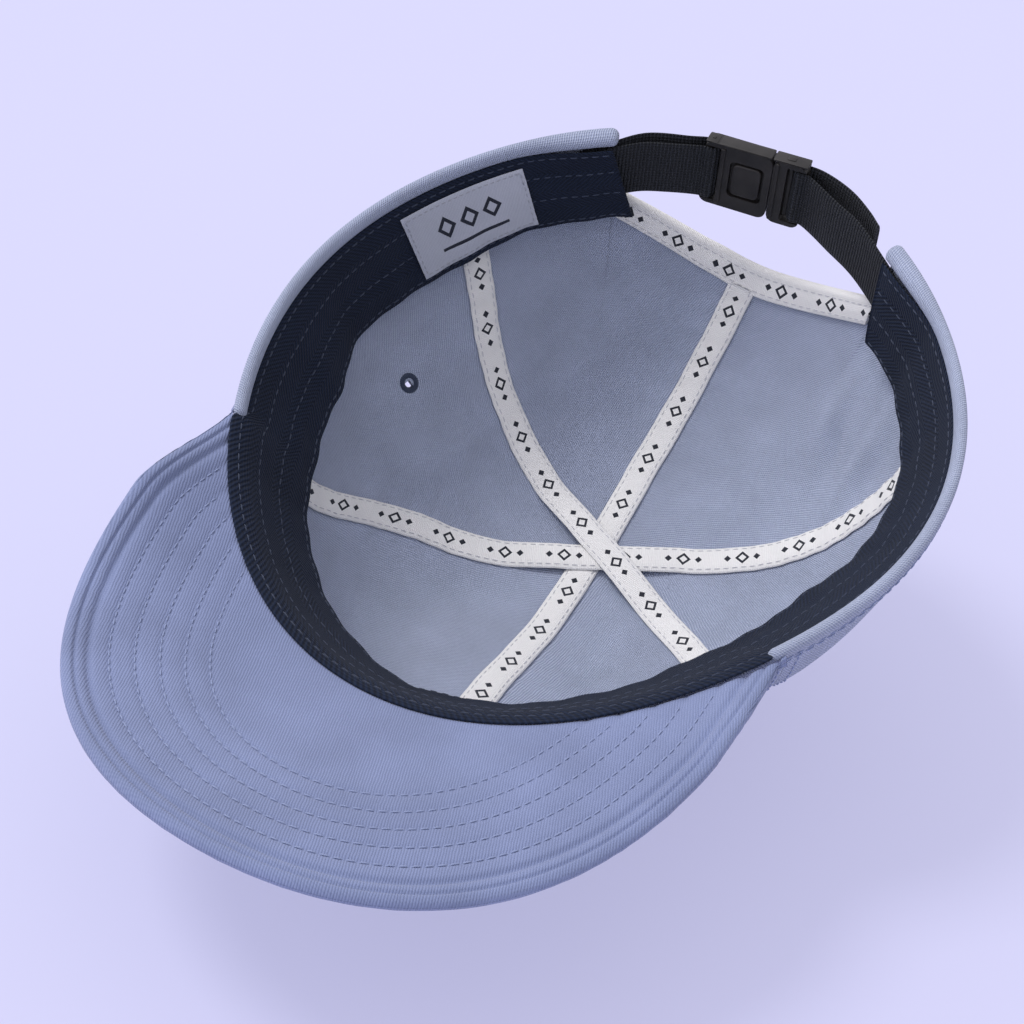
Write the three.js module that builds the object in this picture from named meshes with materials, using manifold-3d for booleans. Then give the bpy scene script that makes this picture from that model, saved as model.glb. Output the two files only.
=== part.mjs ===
// A soft six panel cap, lying mouth up on its crown, with the peak in front and a webbing strap behind.
// Millimetres. The cap is drawn with its mouth level: the peak points to -Y, the wearer's right is +X and
// the crown hangs below the rim. At the end it is tipped forward, the way it rests, and set on Z = 0.
// Angles run round the mouth in degrees, from the front towards +X. A level runs from 0 at the top of the
// crown (the lowest point here) to 1 at the rim.
import Module from 'manifold-3d';
import * as THREE from 'three';
import { mergeVertices } from 'three/addons/utils/BufferGeometryUtils.js';

const wasm = await Module();
wasm.setup();

// Mouth, measured on the cloth's inner face
const MOUTH_HALF_LENGTH = 96.4;
const MOUTH_HALF_WIDTH = 86;
const MOUTH_SQUARENESS = 1.6;
const MOUTH_SKEW = 1.7;
const MOUTH_TWIST = 1.1;
const RIM_FRONT_LIFT = 0.7;
const RIM_SIDE_LIFT = 1.9;
const RIM_WARP = 1.4;

// Crown
const CROWN_DEPTH = 77.5;
const TOP_ASIDE = -2.1;
const TOP_BACK = 4;
const PLAN_FULLNESS = 2.36;
const WALL_FULLNESS = 2.32;
const CLOTH = 1.2;
const HUB_RADIUS = 2.2;

// How it lies
const LYING_TILT = 24;
const PRESSED_FLAT = 4.5;
const PRESS_BLEND = 3;

// Rear opening
const OPENING_HALF_ANGLE = 27;
const OPENING_SIDE_DEPTH = 20.5;
const OPENING_MIDDLE_DEPTH = 36.5;
const OPENING_ROUNDNESS = 0.9;
const OPENING_SIDE_SHARE = 0.012;

// Peak
const PEAK_HALF_ANGLE = 58;
const PEAK_LENGTH = 60;
const PEAK_SIDE_RUN = 66.5;
const PEAK_SIDE_FLARE = 6;
const PEAK_TIP_RUN = 52.9;
const PEAK_TIP_RISE = 36;
const PEAK_SIDE_RISE = 12;
const PEAK_CORNER_SHARE = 0.2;
const PEAK_LAYER = 1.5;

// Sweatband and label
const BAND_WIDTH = 28;
const BAND_CLOTH = 1.2;
const BAND_BELOW_RIM = 3;
const BAND_BELLY = 1.2;
const BAND_CURL = 1.2;
const BAND_END_INSET = 0.3;
const BAND_CLEARANCE = 0.6;
const LABEL_LENGTH = 38;
const LABEL_HEIGHT = 20;
const LABEL_ANGLE = -124;
const LABEL_CLOTH = 0.8;

// Tapes
const TAPE_WIDTH = 8.5;
const TAPE_CLOTH = 1;
const ARCH_TAPE_WIDTH = 7;
const TAPE_END_DEPTH = 24;
const ARCH_TAPE_CLEARANCE = 0.85;
const TAPE_LIFT_NEAR = 13;
const TAPE_LIFT_FAR = 27;
const ARCH_TAPE_END_INSET = 1;

// Strap and buckle
const WEBBING_WIDTH = 17;
const WEBBING = 1.2;
const WEBBING_BELOW_RIM = 2;
const STRAP_BOW = 3;
const STRAP_TUCK_ANGLE = 6;
const STRAP_PARTS_SHARE = 0.72;
const STRAP_PARTS_BY = 0.3;
const TAIL_END_ANGLE = 21;
const BUCKLE_LENGTH = 30;
const BUCKLE_MARGIN = 2;
const BUCKLE_THICK = 4.6;
const BUCKLE_ASIDE = -5;
const BUCKLE_SET_IN = 1;
const BUCKLE_TURN = 7;
const BUCKLE_CORNER = 2.5;
const BUCKLE_SPLIT = 5;
const BAR_THICK = 2;
const SLOT_WIDTH = 3.4;
const END_BAR = 2.4;
const RECESS_LENGTH = 10;
const RECESS_HEIGHT = 12;
const RECESS_DEPTH = 1.4;
const RECESS_CORNER = 1.5;
const RECESS_FROM_SPLIT = 2;
const SLOT_CORNER = 0.6;

// Eyelets and button
const EYELET_RADIUS = 3;
const EYELET_HOLE = 0.9;
const EYELET_THICK = 2.2;
const EYELET_ANGLE = 98.6;
const EYELET_LEVEL = 0.57;
const BUTTON_RADIUS = 7;
const BUTTON_HEIGHT = 3.4;
const BUTTON_CLEARANCE = 0.4;

// Clearance between neighbours
const GAP = 0.3;

// Where each seam runs: its angle at the top, at one and two thirds of the way up the wall, and at the rim
const SEAMS = {
  back_left: { top: -116.5, third: -119, twoThirds: -124, rim: -125.5 },
  front_left: { top: -51, third: -63.7, twoThirds: -59.7, rim: -59.5 },
  front: { top: 0, third: 0.5, twoThirds: 1.5, rim: 1 },
  front_right: { top: 69, third: 63.8, twoThirds: 61, rim: 60 },
  back_right: { top: 109, third: 114, twoThirds: 119, rim: 122 },
  back: { top: 185.5, third: 183, twoThirds: 180.5, rim: 180 },
};

const PANELS = [
  { name: 'panel_side_left', from: 'back_left', to: 'front_left', eyelet: -EYELET_ANGLE },
  { name: 'panel_front_left', from: 'front_left', to: 'front' },
  { name: 'panel_front_right', from: 'front', to: 'front_right' },
  { name: 'panel_side_right', from: 'front_right', to: 'back_right', eyelet: EYELET_ANGLE },
  { name: 'panel_back_right', from: 'back_right', to: 'back' },
  { name: 'panel_back_left', from: 'back', to: 'back_left' },
];

// Dents in the soft wall: middle angle and level, spread in degrees and in level, and the depth as a share
// of the crown's
const DENTS = [
  { angle: 78, level: 0.72, spread: 34, reach: 0.2, deep: 0.13 },
  { angle: -89, level: 0.42, spread: 20, reach: 0.12, deep: 0.07 },
  { angle: 141, level: 0.62, spread: 9, reach: 0.09, deep: 0.04 },
];

// How far the sweatband's free edge stands off the wall, as a share of its width
const BAND_STANDS_OFF = [
  { angle: -153, off: 0.1 },
  { angle: -134, off: 0.12 },
  { angle: -97, off: 0.06 },
  { angle: -75, off: 0.33 },
  { angle: -46, off: 0.32 },
  { angle: -18, off: 0.4 },
  { angle: 20, off: 0.5 },
  { angle: 59, off: 0.45 },
  { angle: 76, off: 0.42 },
  { angle: 94, off: 0.2 },
  { angle: 119, off: 0.1 },
  { angle: 153, off: 0.08 },
];

const CLOTH_BLUE = new THREE.MeshStandardMaterial({ color: 0x868fb5, roughness: 0.9 });
const BAND_NAVY = new THREE.MeshStandardMaterial({ color: 0x1b2334, roughness: 0.9 });
const TAPE_WHITE = new THREE.MeshStandardMaterial({ color: 0xe6e6e8, roughness: 0.85 });
const LABEL_GREY = new THREE.MeshStandardMaterial({ color: 0xc9ccd2, roughness: 0.8 });
const WEBBING_GREY = new THREE.MeshStandardMaterial({ color: 0x4a4d55, roughness: 0.85 });
const BUCKLE_BLACK = new THREE.MeshStandardMaterial({ color: 0x1d1b1a, roughness: 0.6 });

const rad = THREE.MathUtils.degToRad;
const mix = THREE.MathUtils.lerp;
const ease = THREE.MathUtils.smoothstep;

// One closed body from two facing grids of points, face(column, row, side), joined round their edges
function sheet(columns, rows, face) {
  const points = [];
  const triangles = [];
  for (const side of [0, 1]) {
    for (let i = 0; i <= columns; i += 1) {
      for (let j = 0; j <= rows; j += 1) points.push(...face(i, j, side).toArray());
    }
  }
  const at = (i, j, side) => (side * (columns + 1) + i) * (rows + 1) + j;
  const quad = (a, b, c, d) => triangles.push(a, b, c, a, c, d);
  for (let i = 0; i < columns; i += 1) {
    for (let j = 0; j < rows; j += 1) {
      quad(at(i, j, 0), at(i + 1, j, 0), at(i + 1, j + 1, 0), at(i, j + 1, 0));
      quad(at(i, j, 1), at(i, j + 1, 1), at(i + 1, j + 1, 1), at(i + 1, j, 1));
    }
    quad(at(i, 0, 0), at(i, 0, 1), at(i + 1, 0, 1), at(i + 1, 0, 0));
    quad(at(i, rows, 0), at(i + 1, rows, 0), at(i + 1, rows, 1), at(i, rows, 1));
  }
  for (let j = 0; j < rows; j += 1) {
    quad(at(0, j, 0), at(0, j + 1, 0), at(0, j + 1, 1), at(0, j, 1));
    quad(at(columns, j, 0), at(columns, j, 1), at(columns, j + 1, 1), at(columns, j + 1, 0));
  }
  return facingOut(points, triangles);
}

// The same body with its triangles turned so that they face out
function facingOut(points, triangles) {
  const corner = (index) => new THREE.Vector3().fromArray(points, index * 3);
  let volume = 0;
  for (let i = 0; i < triangles.length; i += 3) {
    const [a, b, c] = triangles.slice(i, i + 3).map(corner);
    volume += a.dot(b.cross(c));
  }
  const geometry = new THREE.BufferGeometry();
  geometry.setAttribute('position', new THREE.Float32BufferAttribute(points, 3));
  geometry.setIndex(volume > 0 ? triangles : triangles.toReversed());
  return geometry;
}

function solid(geometry) {
  const bare = geometry.clone();
  bare.deleteAttribute('normal');
  bare.deleteAttribute('uv');
  const merged = mergeVertices(bare);
  const vertProperties = new Float32Array(merged.attributes.position.array);
  const triVerts = new Uint32Array(merged.index.array);
  return new wasm.Manifold(new wasm.Mesh({ numProp: 3, vertProperties, triVerts }));
}

function geometryOf(body) {
  const { vertProperties, triVerts } = body.getMesh();
  const geometry = new THREE.BufferGeometry();
  geometry.setAttribute('position', new THREE.BufferAttribute(vertProperties, 3));
  geometry.setIndex(new THREE.BufferAttribute(triVerts, 1));
  return geometry;
}

function piece(name, geometry, material) {
  const mesh = new THREE.Mesh(geometry, material);
  mesh.name = name;
  return mesh;
}

// A table's column between its rows, eased from row to row
function between(rows, angle, column) {
  const last = rows.length - 1;
  const next = rows.findIndex((row) => row.angle >= angle);
  if (next <= 0) return rows[next === 0 ? 0 : last][column];
  const [a, b] = [rows[next - 1], rows[next]];
  return mix(a[column], b[column], ease(angle, a.angle, b.angle));
}

// The value between low and high at which a rising function passes zero
function solve(low, high, rising) {
  for (let step = 0; step < 40; step += 1) {
    const middle = (low + high) / 2;
    if (rising(middle) > 0) high = middle;
    else low = middle;
  }
  return (low + high) / 2;
}

const angleOf = (point) => THREE.MathUtils.radToDeg(Math.atan2(point.x, -point.y));
const outward = (angle) => new THREE.Vector3(Math.sin(rad(angle)), -Math.cos(rad(angle)), 0);

function rimPoint(angle) {
  const t = rad(angle);
  const mean = (MOUTH_HALF_LENGTH + MOUTH_HALF_WIDTH) / 2;
  const oval = (MOUTH_HALF_LENGTH - MOUTH_HALF_WIDTH) / 2;
  const radius = mean + oval * Math.cos(2 * t) + MOUTH_SQUARENESS * Math.cos(4 * t)
    - MOUTH_SKEW * Math.sin(2 * t) - MOUTH_TWIST * Math.sin(3 * t);
  const height = RIM_FRONT_LIFT * Math.cos(t) - RIM_SIDE_LIFT * Math.cos(2 * t) + RIM_WARP * Math.sin(2 * t);
  return outward(angle).multiplyScalar(radius).setZ(height);
}

// The crown's inner face as sewn, before it is pressed flat underneath
function sewnPoint(angle, level) {
  const turn = level * Math.PI / 2;
  const out = Math.sin(turn) ** (2 / PLAN_FULLNESS);
  const down = Math.max(Math.cos(turn), 0) ** (2 / WALL_FULLNESS);
  const rim = rimPoint(angle);
  const top = new THREE.Vector3(TOP_ASIDE, TOP_BACK, 0);
  const point = top.lerp(rim.clone().setZ(0), out);
  point.z = rim.z * out * out - CROWN_DEPTH * down;
  for (const dent of DENTS) {
    const aside = (THREE.MathUtils.euclideanModulo(angle - dent.angle + 180, 360) - 180) / dent.spread;
    const along = (level - dent.level) / dent.reach;
    const deep = CROWN_DEPTH * dent.deep * Math.exp(-aside * aside - along * along);
    point.addScaledVector(outward(angle), -deep);
  }
  return point;
}

// Height over the floor's direction, once the cap is tipped
const tippedHeight = (point) => point.y * Math.sin(rad(LYING_TILT)) + point.z * Math.cos(rad(LYING_TILT));
const FLOOR_UP = new THREE.Vector3(0, Math.sin(rad(LYING_TILT)), Math.cos(rad(LYING_TILT)));

function lowestSewn() {
  let lowest = Infinity;
  for (let angle = 0; angle < 360; angle += 3) {
    for (let level = 0; level <= 1; level += 0.02) {
      lowest = Math.min(lowest, tippedHeight(sewnPoint(angle, level)));
    }
  }
  return lowest;
}

const PRESS_HEIGHT = lowestSewn() + PRESSED_FLAT;

// The crown's inner face as it lies: flat where it rests, easing into the sewn shape around
function crownPoint(angle, level) {
  const point = sewnPoint(angle, level);
  const above = tippedHeight(point) - PRESS_HEIGHT;
  const blend = THREE.MathUtils.clamp(above / PRESS_BLEND, -1, 1);
  const settled = blend < 1 ? PRESS_BLEND * (blend + 1) ** 2 / 4 : above;
  return point.addScaledVector(FLOOR_UP, settled - above);
}

function crownNormal(angle, level) {
  const step = 0.002;
  const low = Math.min(level, 1 - step);
  const round = crownPoint(angle + 0.2, level).sub(crownPoint(angle - 0.2, level));
  const up = crownPoint(angle, low + step).sub(crownPoint(angle, Math.max(low - step, 0)));
  return round.cross(up).normalize();
}

// A point at a distance from the crown's inner face, outwards where positive
const offCrown = (angle, level, distance) =>
  crownPoint(angle, level).addScaledVector(crownNormal(angle, level), distance);

const depthAt = (angle, level) => rimPoint(angle).z - sewnPoint(angle, level).z;
const levelAtDepth = (angle, depth) => solve(0.3, 1, (level) => depth - depthAt(angle, level));
const levelAtRadius = (radius) => {
  const share = radius / MOUTH_HALF_WIDTH;
  return Math.asin(share ** (PLAN_FULLNESS / 2)) * 2 / Math.PI;
};

function seamAngle(seam, level) {
  const { top, third, twoThirds, rim } = SEAMS[seam];
  const stops = [top, third, twoThirds, rim].map((angle, i) => new THREE.Vector2(i / 3, angle));
  return new THREE.SplineCurve(stops).getPoint(level).y;
}

// The rear opening's edge, as a depth below the rim
function openingDepth(angle) {
  const aside = Math.abs(THREE.MathUtils.euclideanModulo(angle, 360) - 180) / OPENING_HALF_ANGLE;
  if (aside >= 1) return 0;
  return mix(OPENING_SIDE_DEPTH, OPENING_MIDDLE_DEPTH, Math.cos(aside * Math.PI / 2) ** OPENING_ROUNDNESS);
}

const edgeLevel = (angle) => (openingDepth(angle) > 0 ? levelAtDepth(angle, openingDepth(angle)) : 1);

const PANEL_COLUMNS = 10;
const PANEL_ROWS = 13;
const HUB_LEVEL = levelAtRadius(HUB_RADIUS);

// The shares across a panel at which its columns stand, with two close together at the opening's side
function columnShares(from, to) {
  const shares = Array.from({ length: PANEL_COLUMNS + 1 }, (_, i) => i / PANEL_COLUMNS);
  for (const corner of [180 - OPENING_HALF_ANGLE, 180 + OPENING_HALF_ANGLE]) {
    const share = (corner - from) / (to - from);
    if (share > 0 && share < 1) {
      const nearest = Math.round(share * PANEL_COLUMNS);
      const side = corner < 180 ? 1 : -1;
      shares[nearest] = share;
      shares[nearest + side] = share + side * OPENING_SIDE_SHARE;
    }
  }
  return shares;
}

function panel({ name, from, to, eyelet }) {
  const turn = SEAMS[to].rim < SEAMS[from].rim ? 360 : 0;
  const shares = columnShares(SEAMS[from].rim, SEAMS[to].rim + turn);
  const angleAt = (share, level) => {
    const start = seamAngle(from, level);
    const end = seamAngle(to, level) + turn;
    const radius = Math.max(crownPoint(start, level).setZ(0).length(), HUB_RADIUS);
    const inset = THREE.MathUtils.radToDeg(GAP / 2 / radius);
    return mix(start + inset, end - inset, share);
  };
  const geometry = sheet(PANEL_COLUMNS, PANEL_ROWS, (i, j, side) => {
    const edge = edgeLevel(angleAt(shares[i], 1));
    const level = mix(HUB_LEVEL, edge, j / PANEL_ROWS);
    return offCrown(angleAt(shares[i], level), level, side * CLOTH);
  });
  if (!eyelet) return piece(name, geometry, CLOTH_BLUE);
  const hole = new THREE.CylinderGeometry(EYELET_RADIUS + GAP, EYELET_RADIUS + GAP, CLOTH * 6, 16);
  return piece(name, geometryOf(solid(geometry).subtract(solid(onCrown(hole, eyelet)))), CLOTH_BLUE);
}

// A geometry whose axis is Y, stood through the crown's wall at an eyelet
function onCrown(geometry, angle) {
  const turn = new THREE.Quaternion();
  turn.setFromUnitVectors(new THREE.Vector3(0, 1, 0), crownNormal(angle, EYELET_LEVEL));
  const place = offCrown(angle, EYELET_LEVEL, CLOTH / 2);
  return geometry.applyQuaternion(turn).translate(place.x, place.y, place.z);
}

function eyelet(name, angle) {
  const edge = EYELET_THICK / 4;
  const ring = [
    [EYELET_HOLE, -edge], [EYELET_HOLE + edge, -EYELET_THICK / 2], [EYELET_RADIUS - edge, -EYELET_THICK / 2],
    [EYELET_RADIUS, -edge], [EYELET_RADIUS, edge], [EYELET_RADIUS - edge, EYELET_THICK / 2],
    [EYELET_HOLE + edge, EYELET_THICK / 2], [EYELET_HOLE, edge], [EYELET_HOLE, -edge],
  ];
  const lathe = new THREE.LatheGeometry(ring.map(([x, y]) => new THREE.Vector2(x, y)), 12);
  return piece(name, onCrown(lathe, angle), BAND_NAVY);
}

// A point on the crown under a place in plan, used near the top where angles crowd together
function crownUnder(x, y, distance) {
  const top = new THREE.Vector2(TOP_ASIDE, TOP_BACK);
  const aside = new THREE.Vector2(x, y).sub(top);
  let angle = angleOf({ x, y });
  for (let step = 0; step < 4; step += 1) {
    const rim = rimPoint(angle);
    const reach = new THREE.Vector2(rim.x, rim.y).sub(top);
    angle += THREE.MathUtils.radToDeg(Math.atan2(
      aside.y * reach.x - aside.x * reach.y,
      aside.x * reach.x + aside.y * reach.y,
    ));
  }
  const rim = rimPoint(angle);
  const share = aside.length() / new THREE.Vector2(rim.x, rim.y).sub(top).length();
  const level = Math.asin(Math.min(share, 1) ** (PLAN_FULLNESS / 2)) * 2 / Math.PI;
  return offCrown(angle, Math.max(level, 0.001), distance);
}

// Levels along a seam: the panels' own rows, down to the tape's end
function tapeLevels(seam) {
  const rimAngle = SEAMS[seam].rim;
  const edge = edgeLevel(rimAngle);
  const rows = Array.from({ length: PANEL_ROWS + 1 }, (_, i) => mix(HUB_LEVEL, edge, i / PANEL_ROWS));
  const end = edge < 1
    ? levelAtDepth(rimAngle, openingDepth(rimAngle) + ARCH_TAPE_WIDTH + GAP)
    : levelAtDepth(rimAngle, TAPE_END_DEPTH);
  return [...rows.filter((level) => level < end - 0.01), end];
}

// A tape on the inside of the crown, from one seam's end over the top to the other's
function tape(name, from, to, layer) {
  const stops = [
    ...tapeLevels(from).reverse().map((level) => ({ seam: from, level })),
    ...tapeLevels(to).map((level) => ({ seam: to, level })),
  ];
  const line = stops.map(({ seam, level }) => crownPoint(seamAngle(seam, level), level));
  const geometry = sheet(stops.length - 1, 2, (i, j, side) => {
    const { seam, level } = stops[i];
    const forward = line[Math.min(i + 1, line.length - 1)].clone().sub(line[Math.max(i - 1, 0)]);
    const angle = seamAngle(seam, level);
    const across = forward.cross(crownNormal(angle, level)).normalize();
    const shift = across.multiplyScalar((j / 2 - 0.5) * TAPE_WIDTH);
    const place = line[i].clone().add(shift);
    const fromTop = Math.hypot(place.x - TOP_ASIDE, place.y - TOP_BACK);
    const lift = layer * (TAPE_CLOTH + GAP) * (1 - ease(fromTop, TAPE_LIFT_NEAR, TAPE_LIFT_FAR));
    const distance = -(GAP + lift + side * TAPE_CLOTH);
    if (level < 0.35) return crownUnder(place.x, place.y, distance);
    const turned = angleOf(place) - angleOf(line[i]);
    return offCrown(angle + turned, level, distance);
  });
  return piece(name, geometry, TAPE_WHITE);
}

// The tape along the rear opening, laid beside the edge on the inside
function archTape() {
  const columns = 22;
  const reach = OPENING_HALF_ANGLE - ARCH_TAPE_END_INSET;
  const radius = MOUTH_HALF_LENGTH;
  const edge = (i) => {
    const aside = mix(-reach, reach, i / columns);
    return new THREE.Vector2(rad(aside) * radius, openingDepth(180 + aside));
  };
  const geometry = sheet(columns, 2, (i, j, side) => {
    const along = edge(Math.min(i + 1, columns)).sub(edge(Math.max(i - 1, 0))).normalize();
    const away = new THREE.Vector2(-along.y, along.x);
    const place = edge(i).addScaledVector(away, (j / 2) * ARCH_TAPE_WIDTH);
    const limit = rad(reach) * radius;
    const angle = 180 + THREE.MathUtils.radToDeg(THREE.MathUtils.clamp(place.x, -limit, limit) / radius);
    const level = levelAtDepth(angle, place.y);
    return offCrown(angle, level, -(ARCH_TAPE_CLEARANCE + side * TAPE_CLOTH));
  });
  return piece('tape_arch', geometry, TAPE_WHITE);
}

// How far the sweatband's top stands off the wall: more at its ends, where the strap is sewn in behind it
function bandTopStandoff(angle) {
  const strapRoom = 2 * WEBBING + 4 * GAP;
  const fromEnd = 180 - OPENING_HALF_ANGLE - Math.abs(angle);
  return BAND_CLEARANCE + mix(strapRoom, 0, ease(fromEnd, STRAP_TUCK_ANGLE + 1, STRAP_TUCK_ANGLE * 2));
}

// The sweatband's outer face, at a share of its width below its upper edge; distance is inwards
function bandPoint(angle, share, distance) {
  const off = between(BAND_STANDS_OFF, angle, 'off');
  const depth = BAND_BELOW_RIM + BAND_WIDTH * Math.sqrt(1 - off * off) * share;
  const level = levelAtDepth(angle, depth);
  const belly = BAND_BELLY * Math.sin(Math.PI * share);
  const standoff = bandTopStandoff(angle) + BAND_WIDTH * off * share ** BAND_CURL + belly;
  return crownPoint(angle, level).addScaledVector(outward(angle), -standoff - distance);
}

function sweatband() {
  const columns = 60;
  const end = 180 - OPENING_HALF_ANGLE - BAND_END_INSET;
  const geometry = sheet(columns, 4, (i, j, side) =>
    bandPoint(mix(-end, end, i / columns), j / 4, side * BAND_CLOTH));
  return piece('sweatband', geometry, BAND_NAVY);
}

function label() {
  const halfAngle = THREE.MathUtils.radToDeg(LABEL_LENGTH / 2 / MOUTH_HALF_LENGTH);
  const start = (BAND_WIDTH - LABEL_HEIGHT) / 2 / BAND_WIDTH;
  const geometry = sheet(8, 3, (i, j, side) => {
    const angle = LABEL_ANGLE + mix(-halfAngle, halfAngle, i / 8);
    const share = mix(start, 1 - start, j / 3);
    return bandPoint(angle, share, BAND_CLOTH + GAP + side * LABEL_CLOTH);
  });
  return piece('label', geometry, LABEL_GREY);
}

// Half the peak's outline in plan, from the rim's corner to the tip
function peakOutline(sign) {
  const corner = rimPoint(sign * PEAK_HALF_ANGLE);
  const tip = new THREE.Vector2(0, rimPoint(0).y - PEAK_LENGTH);
  const start = new THREE.Vector2(corner.x, corner.y);
  const flare = rad(PEAK_SIDE_FLARE);
  const sideways = new THREE.Vector2(sign * Math.sin(flare), -Math.cos(flare));
  const side = start.clone().addScaledVector(sideways, PEAK_SIDE_RUN);
  return new THREE.CubicBezierCurve(start, side, tip.clone().setX(sign * PEAK_TIP_RUN), tip);
}

const PEAK_OUTLINES = { left: peakOutline(-1), right: peakOutline(1) };

function peakEdge(share) {
  const half = share < 0.5 ? PEAK_OUTLINES.left : PEAK_OUTLINES.right;
  const along = 1 - Math.abs(share * 2 - 1);
  const { x, y } = half.getPoint(along);
  const corner = rimPoint((share < 0.5 ? -1 : 1) * PEAK_HALF_ANGLE);
  const rise = mix(PEAK_TIP_RISE, PEAK_SIDE_RISE, (x / corner.x) ** 2);
  return new THREE.Vector3(x, y, mix(corner.z, rise, ease(along, 0, PEAK_CORNER_SHARE)));
}

// The peak's face that shows, at a share round its edge and a share out from the crown
function peakPoint(share, out) {
  const angle = mix(-PEAK_HALF_ANGLE, PEAK_HALF_ANGLE, share);
  const seam = rimPoint(angle).addScaledVector(outward(angle), CLOTH + GAP);
  return seam.lerp(peakEdge(share), out);
}

function peakNormal(share, out) {
  const s = THREE.MathUtils.clamp(share, 0.02, 0.98);
  const o = THREE.MathUtils.clamp(out, 0.05, 0.95);
  const round = peakPoint(s + 0.01, o).sub(peakPoint(s - 0.01, o));
  const forward = peakPoint(s, o + 0.02).sub(peakPoint(s, o - 0.02));
  return forward.cross(round).normalize();
}

function peakLayer(name, top) {
  const columns = 24;
  const rows = 8;
  const geometry = sheet(columns, rows, (i, j, side) => {
    const share = i / columns;
    const out = j / rows;
    return peakPoint(share, out).addScaledVector(peakNormal(share, out), -(top + side * PEAK_LAYER));
  });
  return piece(name, geometry, CLOTH_BLUE);
}

// Middle of the strap's two layers, bowed out a little across the opening; the distance is outwards
function strapPoint(angle, distance) {
  const inset = 2 * GAP + WEBBING + GAP / 2;
  const fromMiddle = Math.abs(angle - 180) / OPENING_HALF_ANGLE;
  const bow = STRAP_BOW * (1 - ease(fromMiddle, 0, 1));
  return rimPoint(angle).addScaledVector(outward(angle), distance + bow - inset);
}

// A strip of webbing on edge along a line in plan
function webbing(name, line) {
  const curve = new THREE.CatmullRomCurve3(line, false, 'centripetal');
  const steps = line.length * 3;
  const geometry = sheet(steps, 1, (i, j, side) => {
    const point = curve.getPoint(i / steps);
    const forward = curve.getTangent(i / steps).setZ(0).normalize();
    const normal = new THREE.Vector3(-forward.y, forward.x, 0);
    point.addScaledVector(normal, (side - 0.5) * WEBBING);
    const down = WEBBING_BELOW_RIM + j * WEBBING_WIDTH;
    return point.add(new THREE.Vector3(0, -down * STRAP_LEAN, -down));
  });
  return piece(name, geometry, WEBBING_GREY);
}

// How far the strap leans in for each millimetre down, so that its ends clear the wall behind them
function strapLean() {
  const angle = 180 - OPENING_HALF_ANGLE - STRAP_TUCK_ANGLE;
  const down = WEBBING_BELOW_RIM + WEBBING_WIDTH;
  const radius = (point) => Math.hypot(point.x, point.y);
  const inset = (at) => radius(rimPoint(at)) - radius(sewnPoint(at, levelAtDepth(at, down)));
  return (Math.max(inset(angle), inset(-angle)) + GAP) / down / Math.cos(rad(180 - angle));
}

const STRAP_LEAN = strapLean();
const BUCKLE_HEIGHT = WEBBING_WIDTH + 2 * BUCKLE_MARGIN;
const BUCKLE_DOWN = WEBBING_BELOW_RIM + WEBBING_WIDTH / 2;
const BUCKLE_TOP = strapPoint(180, -BUCKLE_SET_IN).setX(BUCKLE_ASIDE);
const BUCKLE_ALONG = new THREE.Vector3(Math.cos(rad(BUCKLE_TURN)), Math.sin(rad(BUCKLE_TURN)), 0);
const BUCKLE_OUT = new THREE.Vector3(-BUCKLE_ALONG.y, BUCKLE_ALONG.x, 0);
const BUCKLE_MIDDLE = BUCKLE_TOP.clone().add(new THREE.Vector3(0, -BUCKLE_DOWN * STRAP_LEAN, -BUCKLE_DOWN));

// The middle of an end bar, level with the strap's upper edge; the sign is the side along X
function barPlace(sign) {
  const reach = BUCKLE_LENGTH / 2 - END_BAR / 2;
  return BUCKLE_TOP.clone().addScaledVector(BUCKLE_ALONG, sign * reach);
}

// A strap folded round its bar: in along the inside, round the bar and back along the outside
function strap(name, sign, outerEnd) {
  const bar = barPlace(sign);
  const round = BAR_THICK / 2 + GAP + WEBBING / 2;
  const apart = (WEBBING + GAP) / 2;
  const tuck = 180 - sign * (OPENING_HALF_ANGLE + STRAP_TUCK_ANGLE);
  const barAngle = 180 - sign * THREE.MathUtils.radToDeg(Math.asin(sign * bar.x / MOUTH_HALF_LENGTH));
  const at = (share, end, distance) => strapPoint(mix(end, barAngle, share), distance);
  const beside = (x, y) => bar.clone().addScaledVector(BUCKLE_ALONG, sign * x).addScaledVector(BUCKLE_OUT, y);
  return webbing(name, [
    at(0, tuck, -apart), at(0.25, tuck, -apart), at(0.5, tuck, -apart),
    at(STRAP_PARTS_SHARE, tuck, -apart - STRAP_PARTS_BY),
    beside(END_BAR * 0.6, -round), beside(0, -round),
    beside(-END_BAR / 2 - GAP, -round * 0.95),
    beside(-END_BAR / 2 - GAP * 3 - WEBBING / 2, 0),
    beside(-END_BAR / 2 - GAP, round * 0.95),
    beside(0, round), beside(END_BAR * 0.6, round),
    at(STRAP_PARTS_SHARE, outerEnd, apart + STRAP_PARTS_BY), at(0.4, outerEnd, apart), at(0, outerEnd, apart),
  ]);
}

function roundedPlate(length, height, thick, corner) {
  const shape = new THREE.Shape();
  const [x, y] = [length / 2, height / 2];
  shape.moveTo(-x + corner, -y).lineTo(x - corner, -y);
  shape.absarc(x - corner, -y + corner, corner, -Math.PI / 2, 0);
  shape.absarc(x - corner, y - corner, corner, 0, Math.PI / 2);
  shape.absarc(-x + corner, y - corner, corner, Math.PI / 2, Math.PI);
  shape.absarc(-x + corner, -y + corner, corner, Math.PI, Math.PI * 1.5);
  const geometry = new THREE.ExtrudeGeometry(shape, { depth: thick, bevelEnabled: false, curveSegments: 4 });
  return geometry.translate(0, 0, -thick / 2).rotateX(Math.PI / 2);
}

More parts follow.
